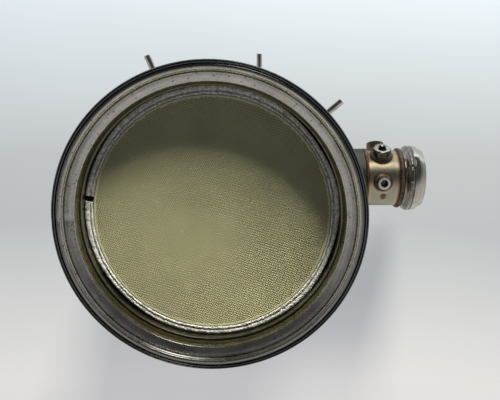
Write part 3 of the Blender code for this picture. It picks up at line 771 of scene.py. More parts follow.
@dataclass
class FilterBlock:
    """The ceramic block: square cells, every other one open, inside a plain skin."""

    pitch: float = 0.0018
    web: float = 0.00042
    depth: float = 0.0012
    plug_depth: float = 0.00035
    skin: float = 0.0014
    edge: float = 0.0008
    turn: float = 28.8

    def build(self) -> bpy.types.Object:
        """Builds the block.

        Returns:
            The block, with slots for its webs, its cells' depths, its skin and its plugs.
        """
        low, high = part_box("filter_substrate")
        radius = high.x
        top = high.z
        count = 2 * round(radius / self.pitch)
        span = count * self.pitch
        bpy.ops.object.select_all(action="DESELECT")
        bpy.ops.mesh.primitive_grid_add(x_subdivisions=count, y_subdivisions=count, size=span,
                                        location=(0.0, 0.0, top))
        piece = adopt_primitive("filter_block_cells")
        place(piece, Matrix.Translation((0.0, 0.0, top)))
        for index in range(4):
            piece.data.materials.append(None)
        bpy.ops.object.mode_set(mode="EDIT")
        limit = radius - self.skin
        select_faces(piece, lambda face: max(v.co.xy.length for v in face.verts) > limit)
        bpy.ops.mesh.delete(type="FACE")
        self._sink_cells(piece, span)
        self._fill_skin(piece, radius, top)
        self._extend_down(piece, radius, top, low.z)
        bpy.ops.mesh.select_all(action="SELECT")
        bpy.ops.mesh.normals_make_consistent(inside=False)
        bpy.ops.object.mode_set(mode="OBJECT")
        return place(piece, Matrix.Rotation(math.radians(self.turn), 4, "Z"))

    def _sink_cells(self, piece: bpy.types.Object, span: float) -> None:
        """Dishes the plugged cells and sinks the open ones between them.

        Args:
            piece: The grid, in edit mode.
            span: The grid's whole width.
        """
        def parity(face: bmesh.types.BMFace) -> int:
            """Returns 0 for a plugged cell and 1 for an open one."""
            centre = face.calc_center_median()
            column = math.floor((centre.x + span / 2.0) / self.pitch)
            row = math.floor((centre.y + span / 2.0) / self.pitch)
            return (column + row) % 2

        select_faces(piece, lambda face: parity(face) == 1)
        bpy.ops.mesh.inset(thickness=self.web / 2.0, use_individual=True)
        bpy.ops.mesh.extrude_region_move(
            TRANSFORM_OT_translate={"value": (0.0, 0.0, -self.depth)})
        # Slot 1 takes the darker ceramic: painted shade on the open cells' floors.
        piece.active_material_index = 1
        bpy.ops.object.material_slot_assign()
        size = self.pitch ** 2 * 0.99
        select_faces(piece, lambda face: face.calc_area() > size and parity(face) == 0)
        bpy.ops.mesh.inset(thickness=self.web / 2.0, depth=-self.plug_depth, use_individual=True)
        piece.active_material_index = 3
        bpy.ops.object.material_slot_assign()

    def _fill_skin(self, piece: bpy.types.Object, radius: float, top: float) -> None:
        """Closes the ring between the cells and the block's edge.

        Args:
            piece: The block, in edit mode.
            radius: The block's radius.
            top: The height of its face.
        """
        bpy.ops.mesh.select_all(action="DESELECT")
        bpy.ops.mesh.select_mode(type="EDGE")
        bpy.ops.mesh.primitive_circle_add(vertices=BODY_STEPS, radius=radius - self.edge,
                                          location=(0.0, 0.0, top))
        shape = bmesh.from_edit_mesh(piece.data)
        for line in shape.edges:
            line.select_set(len(line.link_faces) < 2)
        bmesh.update_edit_mesh(piece.data)
        bpy.ops.mesh.fill(use_beauty=True)
        piece.active_material_index = 2
        bpy.ops.object.material_slot_assign()

    def _extend_down(self, piece: bpy.types.Object, radius: float, top: float,
                     bottom: float) -> None:
        """Adds the block's broken edges, its side and its rear face.

        Args:
            piece: The block, in edit mode.
            radius: The block's radius.
            top: The height of its front face.
            bottom: The height of its rear face.
        """
        bpy.ops.mesh.select_mode(type="EDGE")
        bpy.ops.mesh.select_all(action="DESELECT")
        shape = bmesh.from_edit_mesh(piece.data)
        for line in shape.edges:
            line.select_set(line.is_boundary)
        bmesh.update_edit_mesh(piece.data)
        inner = radius - self.edge
        steps = ((-self.edge, radius / inner), (bottom - top + 2.0 * self.edge, 1.0),
                 (-self.edge, inner / radius))
        for drop, growth in steps:
            bpy.ops.mesh.extrude_region_move(TRANSFORM_OT_translate={"value": (0.0, 0.0, drop)})
            bpy.ops.transform.resize(value=(growth, growth, 1.0), center_override=(0.0, 0.0, 0.0))
        bpy.ops.mesh.edge_face_add()
        piece.active_material_index = 2
        bpy.ops.object.material_slot_assign()

    def dress(self) -> None:
        """Builds the block and gives it its ceramic."""
        webs = Ceramic("ceramic_webs", (0.345, 0.34, 0.215), (0.27, 0.265, 0.165)).make()
        # The cells' floors are painted darker: painted shade standing in for the deep channels.
        cells = Ceramic("ceramic_cell_shade", (0.235, 0.23, 0.145), (0.17, 0.166, 0.105)).make()
        skin = Ceramic("ceramic_skin", (0.41, 0.40, 0.28), (0.27, 0.26, 0.17)).make()
        plugs = Ceramic("ceramic_plugs", (0.25, 0.245, 0.155), (0.19, 0.185, 0.115)).make()
        dress(self.build(), ["filter_substrate"], Slot.CERAMIC, [webs, cells, skin, plugs])


@dataclass
class SupportMat:
    """The fibre mat: two wraps with ragged edges, a joint, and stretches drawn off the shell."""

    inner_share: float = 0.30
    split: float = 0.0002
    steps: int = 1024
    rows: int = 9
    depth: float = 0.012
    ragged: float = 0.0005
    joint_turn: float = 172.6
    joint_width: float = 0.0062
    joint_depth: float = 0.058
    outer_drop: float = 0.0004
    slack: tuple[tuple[float, float, float], ...] = (
        (-19.0, 19.0, 0.0016), (-136.0, 20.0, 0.0017), (152.0, 17.0, 0.0008),
        (37.5, 20.0, 0.0019))

    def _slack_at(self, turn: float) -> float:
        """Returns how far the mat's outer side stands off the shell at an angle.

        Args:
            turn: The angle round the can in radians.

        Returns:
            The distance.
        """
        total = 0.0
        for centre, half, depth in self.slack:
            away = (math.degrees(turn) - centre + 180.0) % 360.0 - 180.0
            if abs(away) < half:
                total += depth * math.cos(math.radians(90.0 * away / half)) ** 0.7
        return total

    def _wrap(self, name: str, inner: float, outer: float, top: float,
              bottom: float) -> bpy.types.Object:
        """Builds one wrap of the mat.

        Args:
            name: The wrap's name.
            inner: Its inner radius.
            outer: Its outer radius.
            top: The height of its ragged edge.
            bottom: The height of its rear edge.

        Returns:
            The wrap.
        """
        crown = (outer - inner) * 0.28
        outline = [(outer, bottom), (outer, top - self.depth)]
        outline += [(outer, top - self.depth * (1.0 - row / 4.0) - crown) for row in (2, 3)]
        outline += arc(((inner + outer) / 2.0, top - crown),
                       ((outer - inner) / 2.0, crown), 0.0, 180.0, self.rows)
        outline += [(inner, top - self.depth), (inner, bottom)]
        piece = turned(name, outline, self.steps)
        pick(piece)
        bpy.ops.object.mode_set(mode="EDIT")
        select_vertices(piece, lambda spot: spot.z > top - self.depth * 0.6)
        bpy.ops.transform.vertex_random(offset=self.ragged, uniform=0.0, normal=0.2, seed=11)
        bpy.ops.object.mode_set(mode="OBJECT")
        return piece

    def build(self) -> list[bpy.types.Object]:
        """Builds both wraps.

        Returns:
            The inner and the outer wrap.
        """
        low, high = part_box("support_mat")
        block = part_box("filter_substrate")[1].x
        inner = block + CLEARANCE
        outer = high.x
        middle = inner + (outer - inner) * self.inner_share
        wraps = [
            self._wrap("mat_inner_wrap", inner, middle, high.z - self.ragged, low.z),
            self._wrap("mat_outer_wrap", middle + self.split, outer,
                       high.z - self.ragged - self.outer_drop, low.z),
        ]
        for wrap in wraps:
            self._draw_in(wrap, inner, outer, high.z)
            self._cut_joint(wrap, inner, outer, high.z)
        return wraps

    def _draw_in(self, wrap: bpy.types.Object, inner: float, outer: float, top: float) -> None:
        """Draws a wrap off the shell along the slack stretches.

        Args:
            wrap: The wrap.
            inner: The mat's inner radius.
            outer: The mat's outer radius.
            top: The mat's top.
        """
        def move(spot: Vector) -> Vector:
            """Returns a vertex's new place."""
            radius = spot.xy.length
            depth = min(1.0, max(0.0, (spot.z - top + 2.0 * self.depth) / self.depth))
            gap = self._slack_at(math.atan2(spot.y, spot.x)) * depth
            kept = inner + (radius - inner) * (1.0 - gap / (outer - inner))
            scale = min(kept, outer) / radius
            return Vector((spot.x * scale, spot.y * scale, min(spot.z, top)))

        reshape(wrap, move)

    def _cut_joint(self, wrap: bpy.types.Object, inner: float, outer: float,
                   top: float) -> None:
        """Opens the mat's joint at its front end.

        Args:
            wrap: The wrap.
            inner: The mat's inner radius.
            outer: The mat's outer radius.
            top: The mat's top.
        """
        bpy.ops.object.select_all(action="DESELECT")
        bpy.ops.mesh.primitive_cube_add(size=1.0)
        tool = adopt_primitive("mat_joint_tool")
        reach = outer - inner + 2.0 * CUT_REACH
        size = Matrix.Diagonal((reach, self.joint_width, 2.0 * self.joint_depth, 1.0))
        turn = Matrix.Rotation(math.radians(self.joint_turn), 4, "Z")
        place(tool, turn @ Matrix.Translation(((inner + outer) / 2.0, 0.0, top)) @ size)
        bpy.ops.object.mode_set(mode="EDIT")
        bpy.ops.mesh.select_all(action="SELECT")
        bpy.ops.mesh.subdivide(number_cuts=8)
        select_vertices(tool, lambda spot: spot.z < top + self.ragged)
        bpy.ops.transform.vertex_random(offset=0.0006, uniform=0.0, normal=0.0, seed=4)
        bpy.ops.object.mode_set(mode="OBJECT")
        combine(wrap, tool, "DIFFERENCE")

    def dress(self) -> None:
        """Builds the mat and gives it its fibre."""
        fibre = Fibre("mat_fibre_strands").make()
        for wrap in self.build():
            dress(wrap, ["support_mat"], Slot.FIBRE, [fibre], 60.0)


@dataclass
class InletFlange:
    """The pressed ring: rolled hem, bead, groove, stepped throat and neck in one piece."""

    sheet: float = 0.0021
    hem_width: float = 0.0015
    hem_rise: float = 0.0016
    crease: float = 0.0003
    crease_depth: float = 0.0006
    roll_drop: float = 0.0004
    bead_width: float = 0.0058
    bead_drop: float = 0.0006
    valley: float = 0.0027
    rim_edge: float = 0.0050
    groove_radius: float = 0.1430
    groove_depth: float = 0.0053
    ridge_width: float = 0.0007
    ridge_height: float = 0.0005
    lip_radius: float = 0.1340
    lip_depth: float = 0.0098
    step_bulge: float = 0.0003
    lip_rounding: float = 0.0019
    cone_setback: float = 0.0015
    dent_turn: float = 180.0
    dent_depth: float = 0.0004
    unevenness: float = 0.00016
    hem_start: float = 0.1476

    def outline(self) -> Outline:
        """Returns the ring's closed outline, from the rim's outer edge inwards and down."""
        low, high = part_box("inlet_flange")
        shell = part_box("filter_shell")[1]
        rim = high.x
        top = high.z
        foot = top - self.valley
        hem = rim - self.hem_width
        roll = hem - self.crease
        roll_inner = roll - self.hem_width
        bead = roll_inner - self.crease
        bead_inner = bead - self.bead_width
        groove = top - self.groove_depth
        lip = top - self.lip_depth
        cone_foot = shell.z + self.cone_setback
        neck = shell.x + CLEARANCE
        sheet = self.sheet
        points = [(rim, top - self.rim_edge), (rim, top - self.hem_rise - 0.001)]
        points += arc(((rim + hem) / 2.0, top - self.hem_rise),
                      (self.hem_width / 2.0, self.hem_rise), 0.0, 180.0, 14)
        points.append((hem - self.crease / 2.0, foot - self.crease_depth))
        points += arc(((roll + roll_inner) / 2.0, top - self.hem_rise),
                      (self.hem_width / 2.0, self.hem_rise - self.roll_drop), 0.0, 180.0, 12)
        points.append((roll_inner - self.crease / 2.0, foot - self.crease_depth))
        points += arc(((bead + bead_inner) / 2.0, foot),
                      (self.bead_width / 2.0, self.valley - self.bead_drop), 0.0, 180.0, 20)
        points += ease((bead_inner, foot), (self.groove_radius, groove + 0.0008), 6)
        points += arc((self.groove_radius - 0.0006, groove), (0.0006, 0.0006), 0.0, -90.0, 4)
        ridge = self.groove_radius - 0.0006 - self.ridge_width / 2.0 - 0.0003
        points += arc((ridge, groove - 0.0006), (self.ridge_width / 2.0, self.ridge_height),
                      0.0, 180.0, 8)
        start = (ridge - self.ridge_width / 2.0 - 0.0003, groove - 0.0007)
        end = (self.lip_radius + self.lip_rounding, lip + self.lip_rounding)
        points += self._bulge(start, end, 16)
        points += arc((self.lip_radius + self.lip_rounding * 0.6, lip - self.lip_rounding * 0.3),
                      (self.lip_rounding * 1.1, self.lip_rounding * 1.1), 110.0, 200.0, 8)
        points += ease((self.lip_radius - self.lip_rounding * 0.5, lip - self.lip_rounding),
                       (neck, cone_foot), 8)
        points += [(neck, cone_foot), (neck, low.z + 0.0006), (neck + 0.0006, low.z)]
        outer = neck + sheet
        points += [(outer - 0.0006, low.z), (outer, low.z + 0.0006), (outer, cone_foot - sheet)]
        under = (self.lip_radius + sheet, lip - self.lip_rounding - sheet)
        points += ease((outer, cone_foot - sheet), under, 6) + [under]
        points += self._bulge(under, (self.groove_radius + sheet * 0.9, groove - sheet), 6)
        points.append((self.groove_radius + sheet, groove - sheet))
        points += ease((self.groove_radius + sheet, groove - sheet),
                       (rim - sheet, top - self.rim_edge - sheet / 2.0), 6)
        points += arc((rim - sheet / 2.0, top - self.rim_edge),
                      (sheet / 2.0, sheet / 2.0), -90.0, 0.0, 4)[:-1]
        return points

    def _bulge(self, start: tuple[float, float], end: tuple[float, float],
               count: int) -> Outline:
        """Returns points of a shallow bow between two points, without its ends.

        Args:
            start: The first point.
            end: The last point.
            count: How many steps there are between them.

        Returns:
            The points in between.
        """
        along = Vector(end) - Vector(start)
        across = Vector((-along.y, along.x)).normalized()
        if across.y < 0.0:
            across.negate()
        points = []
        for index in range(1, count):
            share = index / count
            spot = Vector(start) + along * share
            spot += across * self.step_bulge * math.sin(math.pi * share)
            points.append((spot.x, spot.y))
        return points

    def _settle(self, spot: Vector) -> Vector:
        """Returns a vertex's place with the pressing's slight waves and its dent."""
        turn = math.atan2(spot.y, spot.x)
        wave = math.sin(3.0 * turn + 0.6) + 0.6 * math.sin(7.0 * turn + 2.0)
        wave += 0.35 * math.sin(19.0 * turn) + 0.25 * math.sin(41.0 * turn + 1.0)
        depth = self.unevenness * (wave - 2.3)
        away = math.degrees(turn) - self.dent_turn
        away = abs((away + 180.0) % 360.0 - 180.0)
        depth -= self.dent_depth * math.exp(-(away / 1.6) ** 2)
        return Vector((spot.x, spot.y, spot.z + depth))

    def dress(self) -> None:
        """Builds the ring and gives it its steel."""
        _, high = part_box("inlet_flange")
        piece = turned("inlet_flange_pressing", self.outline(), 2 * BODY_STEPS)
        start = high.z - self.lip_depth - 2.0 * self.lip_rounding

        def move(spot: Vector) -> Vector:
            """Moves only what is above the throat."""
            return self._settle(spot) if spot.z > start else spot

        reshape(piece, move)
        # The steel paints shade along the groove, at groove_radius.
        steel = TurnedSteel("flange_pressed_steel", aged_radius=self.lip_radius - 0.0004,
                            hem_radius=self.hem_start, groove_radius=self.groove_radius - 0.0006,
                            seams=(-46.0, -145.0)).make()
        dress(piece, ["inlet_flange"], Slot.FLANGE, [steel])


@dataclass
class Can:
    """The rolled shell, the chamber behind the block, the rear cap and their welds."""

    shell_wall: float = 0.0015
    chamber_wall: float = 0.0020
    closing: float = 0.85
    cap_knuckle: float = 0.026
    cap_bead_inset: float = 0.0575
    cap_bead_width: float = 0.016
    cap_bead_depth: float = 0.0032
    edge: float = 0.0004
    bead_steps: int = 1120
    bead_ripple: float = 0.00022
    toe: float = 0.0002
    seam_turn: float = 250.0
    seam_width: float = 0.005
    seam_height: float = 0.0011
    seam_rings: int = 240
    seam_lean: float = 0.16
    seam_ripple: float = 0.16

    def _tube(self, name: str, node: str, wall: float) -> bpy.types.Object:
        """Builds a plain tube with broken edges.

        Args:
            name: The tube's name.
            node: The CAD node that gives its sizes.
            wall: Its wall.

        Returns:
            The tube.
        """
        low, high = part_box(node)
        outer = high.y + CLEARANCE * self.closing
        inner = high.y - wall
        edge = self.edge
        outline = [
            (outer, low.z + edge), (outer, high.z - edge), (outer - edge, high.z),
            (inner + edge, high.z), (inner, high.z - edge), (inner, low.z + edge),
            (inner + edge, low.z), (outer - edge, low.z),
        ]
        return turned(name, outline, BODY_STEPS)

    def _cap(self) -> bpy.types.Object:
        """Builds the dished rear cap with its pressed ring bead."""
        low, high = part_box("rear_end_cap")
        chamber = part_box("outlet_chamber")[1].y
        outer = high.y
        sheet = outer - chamber - CLEARANCE
        knuckle = (outer - self.cap_knuckle, low.z + self.cap_knuckle)
        inner = self.cap_knuckle - sheet
        bead = outer - self.cap_bead_inset
        half = self.cap_bead_width / 2.0
        rise = self.cap_bead_depth
        outline = [(0.0, sheet), (bead - half, sheet)]
        outline += self._swell(bead, half, sheet, rise)
        outline += [(bead + half, sheet)]
        outline += arc(knuckle, (inner, inner), -90.0, 0.0, 16)
        outline += [(outer - sheet, high.z - self.edge), (outer - sheet + self.edge, high.z)]
        outline += [(outer - self.edge, high.z), (outer, high.z - self.edge)]
        outline += arc(knuckle, (self.cap_knuckle, self.cap_knuckle), 0.0, -90.0, 18)
        outline += [(bead + half, 0.0)]
        outline += reversed(self._swell(bead, half, 0.0, rise))
        outline += [(bead - half, 0.0), (0.0, 0.0)]
        return turned("rear_end_cap_pressing", outline, BODY_STEPS, closed=False)

    @staticmethod
    def _swell(middle: float, half: float, foot: float, rise: float) -> Outline:
        """Returns the inner points of a smooth raised ring.

        Args:
            middle: Its middle radius.
            half: Half its width.
            foot: The height at its foot.
            rise: How far it stands above the foot.

        Returns:
            The points, outwards.
        """
        points = []
        for index in range(1, 12):
            share = index / 12.0
            height = foot + rise * (0.5 - 0.5 * math.cos(2.0 * math.pi * share))
            points.append((middle - half + 2.0 * half * share, height))
        return points

    def _round_bead(self, name: str, node: str, wall: float, upward: bool) -> bpy.types.Object:
        """Builds a rippled fillet weld round the can.

        Args:
            name: The bead's name.
            node: The CAD node of the weld.
            wall: The radius of the wall that it lies on.
            upward: True if its toe is above its throat.

        Returns:
            The bead.
        """
        low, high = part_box(node)
        base = low.z if upward else high.z
        reach = high.z - low.z if upward else low.z - high.z
        outline = arc((wall, base), (high.y - wall - self.bead_ripple, reach), 0.0, 90.0, 7)
        outline.append((wall, base))
        piece = turned(name, outline, self.bead_steps)
        ripple(piece, self.bead_steps, self.bead_ripple,
               lambda spot: spot.xy.length > wall + self.toe)
        return piece

    def _seam(self) -> bpy.types.Object:
        """Builds the weld along the shell."""
        low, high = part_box("shell_seam_weld")
        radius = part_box("filter_shell")[1].x
        bpy.ops.object.select_all(action="DESELECT")
        bpy.ops.mesh.primitive_cylinder_add(vertices=24, radius=1.0, depth=high.z - low.z)
        piece = adopt_primitive("shell_seam_bead")
        bpy.ops.object.mode_set(mode="EDIT")
        shape = bmesh.from_edit_mesh(piece.data)
        bpy.ops.mesh.select_mode(type="EDGE")
        for line in shape.edges:
            first, second = line.verts
            line.select_set(abs(first.co.z - second.co.z) > self.edge)
        bmesh.update_edit_mesh(piece.data)
        bpy.ops.mesh.subdivide(number_cuts=self.seam_rings)
        bpy.ops.object.mode_set(mode="OBJECT")
        pitch = (high.z - low.z) / (self.seam_rings + 1)

        def move(spot: Vector) -> Vector:
            """Flattens the bead onto the shell and ripples it."""
            wave = math.cos(2.0 * math.pi * (spot.z / pitch / 6.0 + self.seam_lean * spot.y))
            rise = 1.0 - self.seam_ripple * (0.5 - 0.5 * wave)
            return Vector((radius - self.toe + spot.x * self.seam_height * rise,
                           spot.y * self.seam_width / 2.0, spot.z))

        reshape(piece, move)
        lift = Matrix.Translation((0.0, 0.0, (low.z + high.z) / 2.0))
        return place(piece, Matrix.Rotation(math.radians(self.seam_turn), 4, "Z") @ lift)

    def dress(self) -> None:
        """Builds the can's pieces and gives them their finishes."""
        steel = TurnedSteel("can_steel", (0.50, 0.485, 0.44), (0.30, 0.29, 0.25),
                            roughness=0.34).make()
        inner = TurnedSteel("shell_steel", (0.34, 0.32, 0.24), (0.17, 0.15, 0.09),
                            roughness=0.36).make()
        weld = WeldMetal("body_weld_metal").make()
        shell_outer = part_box("filter_shell")[1].x
        chamber_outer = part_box("outlet_chamber")[1].y
        shell = self._tube("filter_shell_rolled", "filter_shell", self.shell_wall)
        dress(shell, ["filter_shell"], Slot.PRESSED, [inner])
        chamber = self._tube("outlet_chamber_ring", "outlet_chamber", self.chamber_wall)
        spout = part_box("outlet_spout")
        bore = (spout[1].z - spout[0].z) / 2.0 - OutletPipe.wall
        hole = turned("spout_hole_tool", [
            (0.0, 0.0), (0.0, chamber_outer + CUT_REACH),
            (bore, chamber_outer + CUT_REACH), (bore, 0.0)], PIPE_STEPS)
        combine(chamber, place(hole, OutletPipe.axis()), "DIFFERENCE")
        dress(chamber, ["outlet_chamber"], Slot.PRESSED, [steel])
        dress(self._cap(), ["rear_end_cap"], Slot.PRESSED, [steel])
        beads = (
            ("inlet_flange_bead", "inlet_flange_weld", shell_outer, False),
            ("chamber_bead", "chamber_weld", shell_outer, True),
            ("end_cap_bead", "end_cap_weld", chamber_outer, True),
        )
        for name, node, wall, upward in beads:
            dress(self._round_bead(name, node, wall, upward), [node], Slot.WELD, [weld], 50.0)
        dress(self._seam(), ["shell_seam_weld"], Slot.WELD, [weld], 50.0)
        repaint("mat_retaining_ring", steel)


@dataclass
class OutletPipe:
    """The spout, its saddle weld, the pipe, its two welds and the machined flange."""

    wall: float = 0.0018
    base_length: float = 0.01035
    taper: float = 0.034
    edge: float = 0.0004
    saddle_radius: float = 0.0030
    saddle_steps: int = 240
    bead_steps: int = 432
    bead_ripple: float = 0.00020
    neck_swell: float = 0.0011
    neck: float = 0.0052
    neck_edge: float = 0.0006
    bead_reach: float = 0.00325
    cone: float = 0.0038
    ridge: float = 0.0055
    ridge_crest: float = 0.0014
    slot_width: float = 0.0009
    slot_depth: float = 0.0013
    band: float = 0.0068
    band_taper: float = 0.0010
    band_edge: float = 0.0003
    band_inset: float = 0.0005
    swelling: float = 0.0002
    nose_drop: float = 0.0030
    nose_step: float = 0.0007
    nose_edge: float = 0.0009
    face_width: float = 0.0026
    mouth: float = 0.0005
    crinkle: float = 0.00040
    crinkle_reach: float = 0.0030

    @staticmethod
    def height() -> float:
        """Returns the height of the pipe's axis."""
        low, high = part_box("outlet_pipe")
        return (low.z + high.z) / 2.0

    @staticmethod
    def radius() -> float:
        """Returns the pipe's outer radius."""
        low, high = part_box("outlet_pipe")
        return (high.z - low.z) / 2.0

    @staticmethod
    def axis() -> Matrix:
        """Returns the matrix that lays Z along the pipe's axis."""
        return Matrix.Translation((0.0, 0.0, OutletPipe.height())) @ Matrix.Rotation(
            math.radians(90.0), 4, "Y")

    def _spout(self) -> bpy.types.Object:
        """Builds the drawn spout, saddled onto the chamber."""
        low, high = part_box("outlet_spout")
        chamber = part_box("outlet_chamber")[1].y
        radius = self.radius() + CLEARANCE + self.wall
        base = (high.z - low.z) / 2.0
        base_end = chamber + self.base_length
        neck = base_end + self.taper
        foot = chamber - base / 2.0
        outer = [(radius - self.edge, high.x), (radius, high.x - self.edge), (radius, neck)]
        outer += ease((radius, neck), (base, base_end), 20)
        outer += [(base, base_end), (base, foot)]
        wall = self.wall
        inner = [(base - wall, foot), (base - wall, base_end)]
        inner += ease((base - wall, base_end), (radius - wall, neck), 20)
        inner += [(radius - wall, neck), (radius - wall, high.x)]
        piece = place(turned("outlet_spout_drawn", outer + inner, PIPE_STEPS), self.axis())
        tool = turned("chamber_form_tool", [
            (0.0, 0.0), (chamber + CLEARANCE, 0.0), (chamber + CLEARANCE, high.z + base),
            (0.0, high.z + base)], BODY_STEPS)
        combine(piece, tool, "DIFFERENCE")
        return piece

    def _saddle(self) -> bpy.types.Object:
        """Builds the rippled weld along the saddle."""
        low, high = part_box("outlet_spout")
        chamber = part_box("outlet_chamber")[1].y
        base = (high.z - low.z) / 2.0
        offset = self.saddle_radius / 3.0
        bpy.ops.object.select_all(action="DESELECT")
        bpy.ops.mesh.primitive_torus_add(
            major_segments=self.saddle_steps, minor_segments=14, major_radius=base + offset,
            minor_radius=self.saddle_radius - self.bead_ripple)
        piece = adopt_primitive("spout_saddle_bead")
        ripple(piece, self.saddle_steps, self.bead_ripple, lambda spot: spot.z > -0.001)
        place(piece, self.axis())

        def move(spot: Vector) -> Vector:
            """Lays the bead along the chamber's curve."""
            reach = math.sqrt((chamber + offset) ** 2 - spot.y ** 2)
            return Vector((spot.x + reach, spot.y, spot.z))

        reshape(piece, move)
        return piece

    def _pipe(self) -> bpy.types.Object:
        """Builds the pipe, drilled under each boss."""
        low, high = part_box("outlet_pipe")
        radius = self.radius()
        bore = radius - self.wall
        edge = self.edge
        outline = [
            (radius, low.x + edge), (radius, high.x), (bore, high.x), (bore, low.x + edge),
            (bore + edge, low.x), (radius - edge, low.x)]
        piece = place(turned("outlet_pipe_drawn", outline, PIPE_STEPS), self.axis())
        for boss in Boss.all():
            drill = turned("drill_tool", [
                (0.0, bore / 2.0), (boss.bore / 2.0, bore / 2.0),
                (boss.bore / 2.0, radius + CUT_REACH), (0.0, radius + CUT_REACH)], SMALL_STEPS)
            combine(piece, place(drill, boss.frame()), "DIFFERENCE")
        return piece

    def _bead(self, name: str, node: str) -> bpy.types.Object:
        """Builds a rippled weld round the pipe.

        Args:
            name: The bead's name.
            node: The CAD node of the weld.

        Returns:
            The bead.
        """
        low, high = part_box(node)
        radius = self.radius()
        rise = (high.z - low.z) / 2.0 - radius - self.bead_ripple
        half = (high.x - low.x) / 2.0
        outline = arc((radius, (low.x + high.x) / 2.0), (rise, half), 90.0, -90.0, 12)
        piece = turned(name, outline, self.bead_steps)
        ripple(piece, self.bead_steps, self.bead_ripple,
               lambda spot: spot.xy.length > radius + 0.0006)
        return place(piece, self.axis())

    def _flange(self) -> bpy.types.Object:
        """Builds the flange in one piece with its neck, which has a slot of its own."""
        low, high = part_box("outlet_flange")
        pipe = self.radius()
        bore = pipe - self.wall
        rim = (high.z - low.z) / 2.0
        neck = pipe + self.neck_swell
        ridge_start = low.x + self.neck
        ridge_top = ridge_start + self.cone
        slot = ridge_top + self.ridge
        band = slot + self.slot_width
        band_end = band + self.band
        face = high.x
        bead_end = low.x + self.bead_reach
        cone_start = ridge_start - self.neck_edge
        crest = self.ridge_crest
        outline = [(bore, low.x), (pipe, low.x), (pipe, bead_end - self.edge), (neck, bead_end),
                   (neck, cone_start)]
        outline += ease((neck, cone_start), (rim - crest, ridge_top), 8)
        outline += arc((rim - crest, ridge_top + self.ridge / 2.0),
                       (crest, self.ridge / 2.0), -90.0, 90.0, 16)
        outline += [(rim - self.slot_depth, slot), (rim - self.slot_depth, band)]
        shoulder = (rim - self.band_taper, band_end)
        seat = (rim - self.nose_drop, band_end + self.nose_step)
        corner = (rim - self.band_edge, band + self.band_edge)
        outline += [(rim - self.band_inset, band), corner]
        outline += self._swelling(corner, shoulder, self.swelling, 8)
        lip = (bore + self.face_width, face - self.nose_edge)
        outline += [shoulder, seat] + self._swelling(seat, lip, self.swelling, 8)
        outline += arc((lip[0] - self.nose_edge, lip[1]), (self.nose_edge, self.nose_edge),
                       0.0, 90.0, 5)
        outline.append((bore + self.mouth, face))
        outline += arc((bore + self.mouth, face - self.mouth), (self.mouth, self.mouth),
                       100.0, 180.0, 5)
        piece = turned("outlet_flange_machined", outline, 2 * PIPE_STEPS)
        piece.data.materials.append(None)
        piece.data.materials.append(None)
        pick(piece)
        bpy.ops.object.mode_set(mode="EDIT")
        select_faces(piece, lambda face: face.calc_center_median().z < band)
        piece.active_material_index = 1
        bpy.ops.object.material_slot_assign()
        bpy.ops.object.mode_set(mode="OBJECT")

        def move(spot: Vector) -> Vector:
            """Gives the clamp ridge its knocked, wavy crest."""
            radius = spot.xy.length
            on_ridge = ridge_top < spot.z < slot and radius > rim - self.crinkle_reach
            if not on_ridge:
                return spot
            turn = math.atan2(spot.y, spot.x)
            wave = math.sin(23.0 * turn) + 0.8 * math.sin(37.0 * turn + 1.0)
            wave += 0.6 * math.sin(61.0 * turn + 2.0)
            scale = 1.0 + self.crinkle * (wave - 2.4) / 2.4 / radius
            return Vector((spot.x * scale, spot.y * scale, spot.z))

        reshape(piece, move)
        return place(piece, self.axis())

    @staticmethod
    def _swelling(start: tuple[float, float], end: tuple[float, float], rise: float,
                  count: int) -> Outline:
        """Returns the inner points of a slightly swollen line between two points.

        Args:
            start: The first point.
            end: The last point.
            rise: How far its middle stands out.
            count: How many steps there are between them.

        Returns:
            The points in between.
        """
        points = []
        for index in range(1, count):
            share = index / count
            swell = rise * math.sin(math.pi * share)
            points.append((start[0] + (end[0] - start[0]) * share + swell,
                           start[1] + (end[1] - start[1]) * share))
        return points

    def dress(self) -> None:
        """Builds the outlet's pieces and gives them their finishes."""
        height = self.height()
        spout_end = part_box("outlet_spout")[1].x
        pipe_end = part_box("outlet_pipe")[1].x
        spots = tuple((boss.foot(), boss.reach) for boss in Boss.all())
        spout = PipeSteel("spout_steel_dull", height, (0.17, 0.175, 0.135), (0.07, 0.072, 0.055),
                          0.52).make()
        pipe = TintedSteel("pipe_steel_tinted", height,
                           ((spout_end, 0.009), (pipe_end, 0.010)), spots).make()
        bright = PipeSteel("machined_steel_bright", height, (0.62, 0.60, 0.53),
                           (0.40, 0.385, 0.33), 0.10, 0.7).make()
        weld = WeldMetal("pipe_weld_metal", (0.165, 0.115, 0.085), (0.045, 0.036, 0.036), 0.36).make()
        dress(self._spout(), ["outlet_spout"], Slot.SPOUT, [spout])
        dress(self._saddle(), ["spout_saddle_weld"], Slot.WELD, [weld], 50.0)
        dress(self._pipe(), ["outlet_pipe"], Slot.PIPE, [pipe])
        for name, node in (("spout_pipe_bead", "spout_pipe_weld"),
                           ("outlet_flange_bead", "outlet_flange_weld")):
            dress(self._bead(name, node), [node], Slot.WELD, [weld], 50.0)
        worn = PipeSteel("machined_steel_worn", height, (0.40, 0.37, 0.32), (0.15, 0.13, 0.11),
                         0.20, 0.4).make()
        dress(self._flange(), ["outlet_flange"], Slot.MACHINED, [bright, worn])


